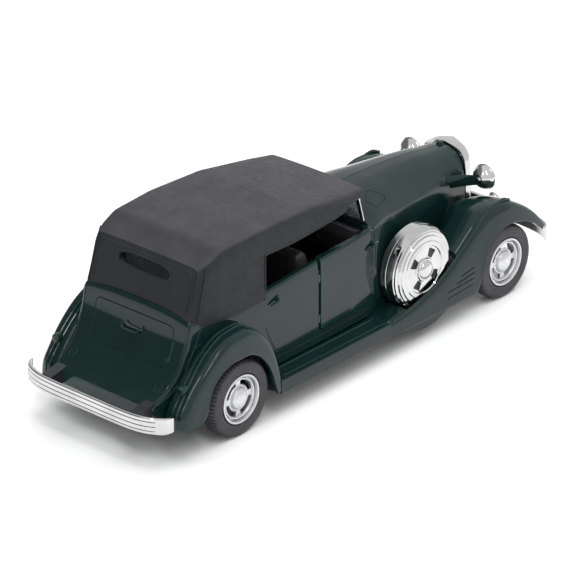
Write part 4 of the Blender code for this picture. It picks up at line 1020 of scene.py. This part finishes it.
cover = turned("cover", [(r, -y) for r, y in COVER], (SPARE_X, 0, SPARE_Z), "y", 128)
for a in np.radians(56 + 90 * np.arange(4)):
    out = np.array([math.cos(a), math.sin(a)])
    across = np.array([-out[1], out[0]])
    corners = rounded([out * 3.75 - across * 1.05, out * 6.3 - across * 1.6, out * 6.3 + across * 1.6,
                       out * 3.75 + across * 1.05], 0.4, 4) + [SPARE_X, SPARE_Z]
    carve(cover, prism("slot", corners, "y", -26.0, -23.8))
    pits.append(prism("pit", corners, "y", -24.5, -24.05))
both_sides(cover, "spare_disc_{}", CHROME, ["spare_cover_{}"], 24)
both_sides(joined(*pits), "spare_pits_{}", BLACK)

# ---------------- small lamps and handles
TAIL = [(0, -1.8), (0.7, -1.7), (1.2, -1.0), (1.3, 0.8), (1.25, 0.95), (1.0, 1.0), (0.9, 1.1), (0.5, 1.18),
        (0, 1.2)]
tail = turned("tail", [(r, -h) for r, h in TAIL], (-20.4, -23.6, 21.2), "x", 48)
both_sides(tail, "tail_lamp_{}_bell", GREEN, ["tail_lamp_{}"])
mark = along([(108.4, -25.1, 29.4), (110.2, -25.1, 30.4), (113.2, -24.9, 30.9), (116.2, -24.7, 29.8)], 24)
mark = swept("mark", mark, circle(0.55, 14, 0.9))
both_sides(mark, "marker_lamp_{}_bell", GREEN, ["marker_lamp_{}"])
grip = lever(21.4, 32.2, -20.55, 0.9, 3.2)
both_sides(grip, "rear_grip_{}", GREEN, ["handle_rear_{}"])

# ---------------- wheels
TYRE = [(7.6, 21.3), (8.6, 21.0), (9.8, 20.9), (10.5, 21.1), (10.95, 21.5), (11.2, 22.1), (11.3, 22.8),
        (11.3, 24.9), (11.2, 25.5), (10.95, 26.05), (10.6, 26.3), (9.9, 26.5), (9.3, 26.56), (8.9, 26.4),
        (8.7, 26.5), (8.3, 26.5), (7.9, 26.3), (7.6, 26.2)]
TREAD_ROWS = range(4, 10)
BLOCKS = 60
RIM = [(0.0, 26.95), (0.8, 26.9), (1.6, 26.75), (2.3, 26.4), (2.8, 25.95), (3.0, 25.5), (3.1, 25.0),
       (3.3, 25.3), (3.6, 25.45), (3.8, 25.3), (4.0, 25.05), (5.25, 25.0), (5.4, 25.35), (5.6, 25.75),
       (5.85, 25.8), (6.05, 25.55), (6.15, 24.9), (6.4, 24.9), (6.5, 25.9), (6.7, 26.4), (7.0, 26.5),
       (7.2, 26.4), (7.3, 26.15), (7.3, 21.6), (6.5, 21.6), (6.3, 24.2), (2.2, 24.2), (2.0, 21.8),
       (0.0, 21.8)]


def tread(angle, row):
    """Radial cuts between the tread blocks."""
    if row not in TREAD_ROWS:
        return 0.0
    return np.where(np.mod(angle * BLOCKS / (2 * math.pi), 1.0) < 0.35, -0.32, 0.0)


for end, x in (("rear", 0.0), ("front", WHEELBASE)):
    hub = (x, 0, AXLE_Z)
    tyre = turned("tyre", [(r, -y) for r, y in TYRE], hub, "y", BLOCKS * 6, tread)
    both_sides(tyre, "rubber_%s_{}" % end, RUBBER, ["tyre_%s_{}" % end], 40, end + "_wheels")
    rim = turned("rim", [(r, -y) for r, y in RIM], hub, "y", 120)
    for a in np.radians(45 + 90 * np.arange(4)):
        inner = [np.array([math.cos(a + t), math.sin(a + t)]) * 3.95 for t in np.linspace(-0.58, 0.58, 13)]
        outer = [np.array([math.cos(a + t), math.sin(a + t)]) * 5.35 for t in np.linspace(0.60, -0.60, 13)]
        carve(rim, prism("slot", rounded(inner + outer, 0.3, 3) + [x, AXLE_Z], "y", -27.0, -23.6))
    both_sides(rim, "disc_%s_{}" % end, SILVER, ["rim_%s_{}" % end], 24, end + "_wheels")

# ---------------- the look of parts kept as modelled
# the hinge pins take the dark blued material as painted shade, to keep the front door gaps dark
KEPT = {"axle_front": STEEL, "axle_rear": STEEL, "axle_gear": MOTOR, "spring_gear": MOTOR,
        "mainspring": STEEL, "spring_arbor": STEEL, "motor_case": MOTOR, "chassis_base": BLACK,
        "screw_front": STEEL, "screw_rear": STEEL, "steering_column": BLACK, "hinge_pin_right": BLUED_AND_GAP_SHADE,
        "hinge_pin_left": BLUED_AND_GAP_SHADE}
for name, material in KEPT.items():
    for slot in frame["nodes"][name].material_slots:
        slot.material = material

# ---------------- studio
floor_mesh = bpy.data.meshes.new("studio_floor")
FLOOR_HALF = 1.6
corners = [(FLOOR_HALF * u, FLOOR_HALF * v, 0) for u, v in ((-1, -1), (1, -1), (1, 1), (-1, 1))]
floor_mesh.from_pydata(corners, [], [(0, 1, 2, 3)])
floor = added("studio_floor", floor_mesh)
floor_mesh.materials.append(coating("studio_paper", (0.9, 0.9, 0.9), 0.9))


def lamp(name, location, target, size, power, size_y=None):
    data = bpy.data.lights.new(name, "AREA")
    data.shape = "RECTANGLE"
    data.size = size
    data.size_y = size_y or size
    data.energy = power
    ob = added(name, data)
    ob.location = location
    ob.rotation_euler = (Vector(location) - Vector(target)).to_track_quat("Z", "Y").to_euler()
    return ob


# a broad softbox that the paint does not mirror, and two thin strips that draw the long highlights
AIM = (0, 0, 0.02)
STRIP_WIDTH = 0.03
overhead = lamp("softbox_top", (0.20, 0.0, 1.0), (0, 0, 0), size=1.2, power=10.0)
overhead.visible_glossy = False
lamp("strip_high", (-0.35, -0.55, 0.90), AIM, STRIP_WIDTH, power=2.0, size_y=0.6)
lamp("strip_rear", (-0.80, -0.10, 0.80), AIM, STRIP_WIDTH, power=1.0, size_y=0.4)
# an even white surround that fades to one dark side, behind the car's left rear corner
DARK_SIDE = (-0.47, 0.88, 0.0)
BRIGHT = 0.84
DIM = 0.20
FADE_START = 0.40
FADE_END = 0.56
world = bpy.data.worlds.new("studio_world")
world.use_nodes = True
sky = world.node_tree
direction = sky.nodes.new("ShaderNodeTexCoord")
towards = sky.nodes.new("ShaderNodeVectorMath")
towards.operation = "DOT_PRODUCT"
towards.inputs[1].default_value = DARK_SIDE
sky.links.new(direction.outputs["Generated"], towards.inputs[0])
strength = spread(world, towards.outputs["Value"], BRIGHT, DIM, FADE_START, FADE_END)
sky.links.new(strength, sky.nodes["Background"].inputs["Strength"])
sky.nodes["Background"].inputs["Color"].default_value = (1, 1, 1, 1)
bpy.context.scene.world = world
bpy.context.scene.view_settings.view_transform = "Standard"

# ---------------- camera
AZIMUTH = math.radians(-48.08)
ELEVATION = math.radians(26.55)
ROLL = math.radians(-0.16)
CAMERA_OFFSET = Vector((-0.83825, -0.79618, 0.60262))
FLAT = math.cos(ELEVATION)
back = Vector((math.sin(AZIMUTH) * FLAT, -math.cos(AZIMUTH) * FLAT, math.sin(ELEVATION)))
right = Vector((math.cos(AZIMUTH), math.sin(AZIMUTH), 0))
above = back.cross(right)
level = Matrix((right, above, back)).transposed()
turn_roll = Matrix.Rotation(ROLL, 3, back)
cam_data = bpy.data.cameras.new("camera")
cam_data.lens = 294.36
cam_data.sensor_width = 36.0
camera = added("camera", cam_data)
camera.matrix_world = Matrix.Translation(REAR_AXLE + CAMERA_OFFSET) @ (turn_roll @ level).to_4x4()
bpy.context.scene.camera = camera
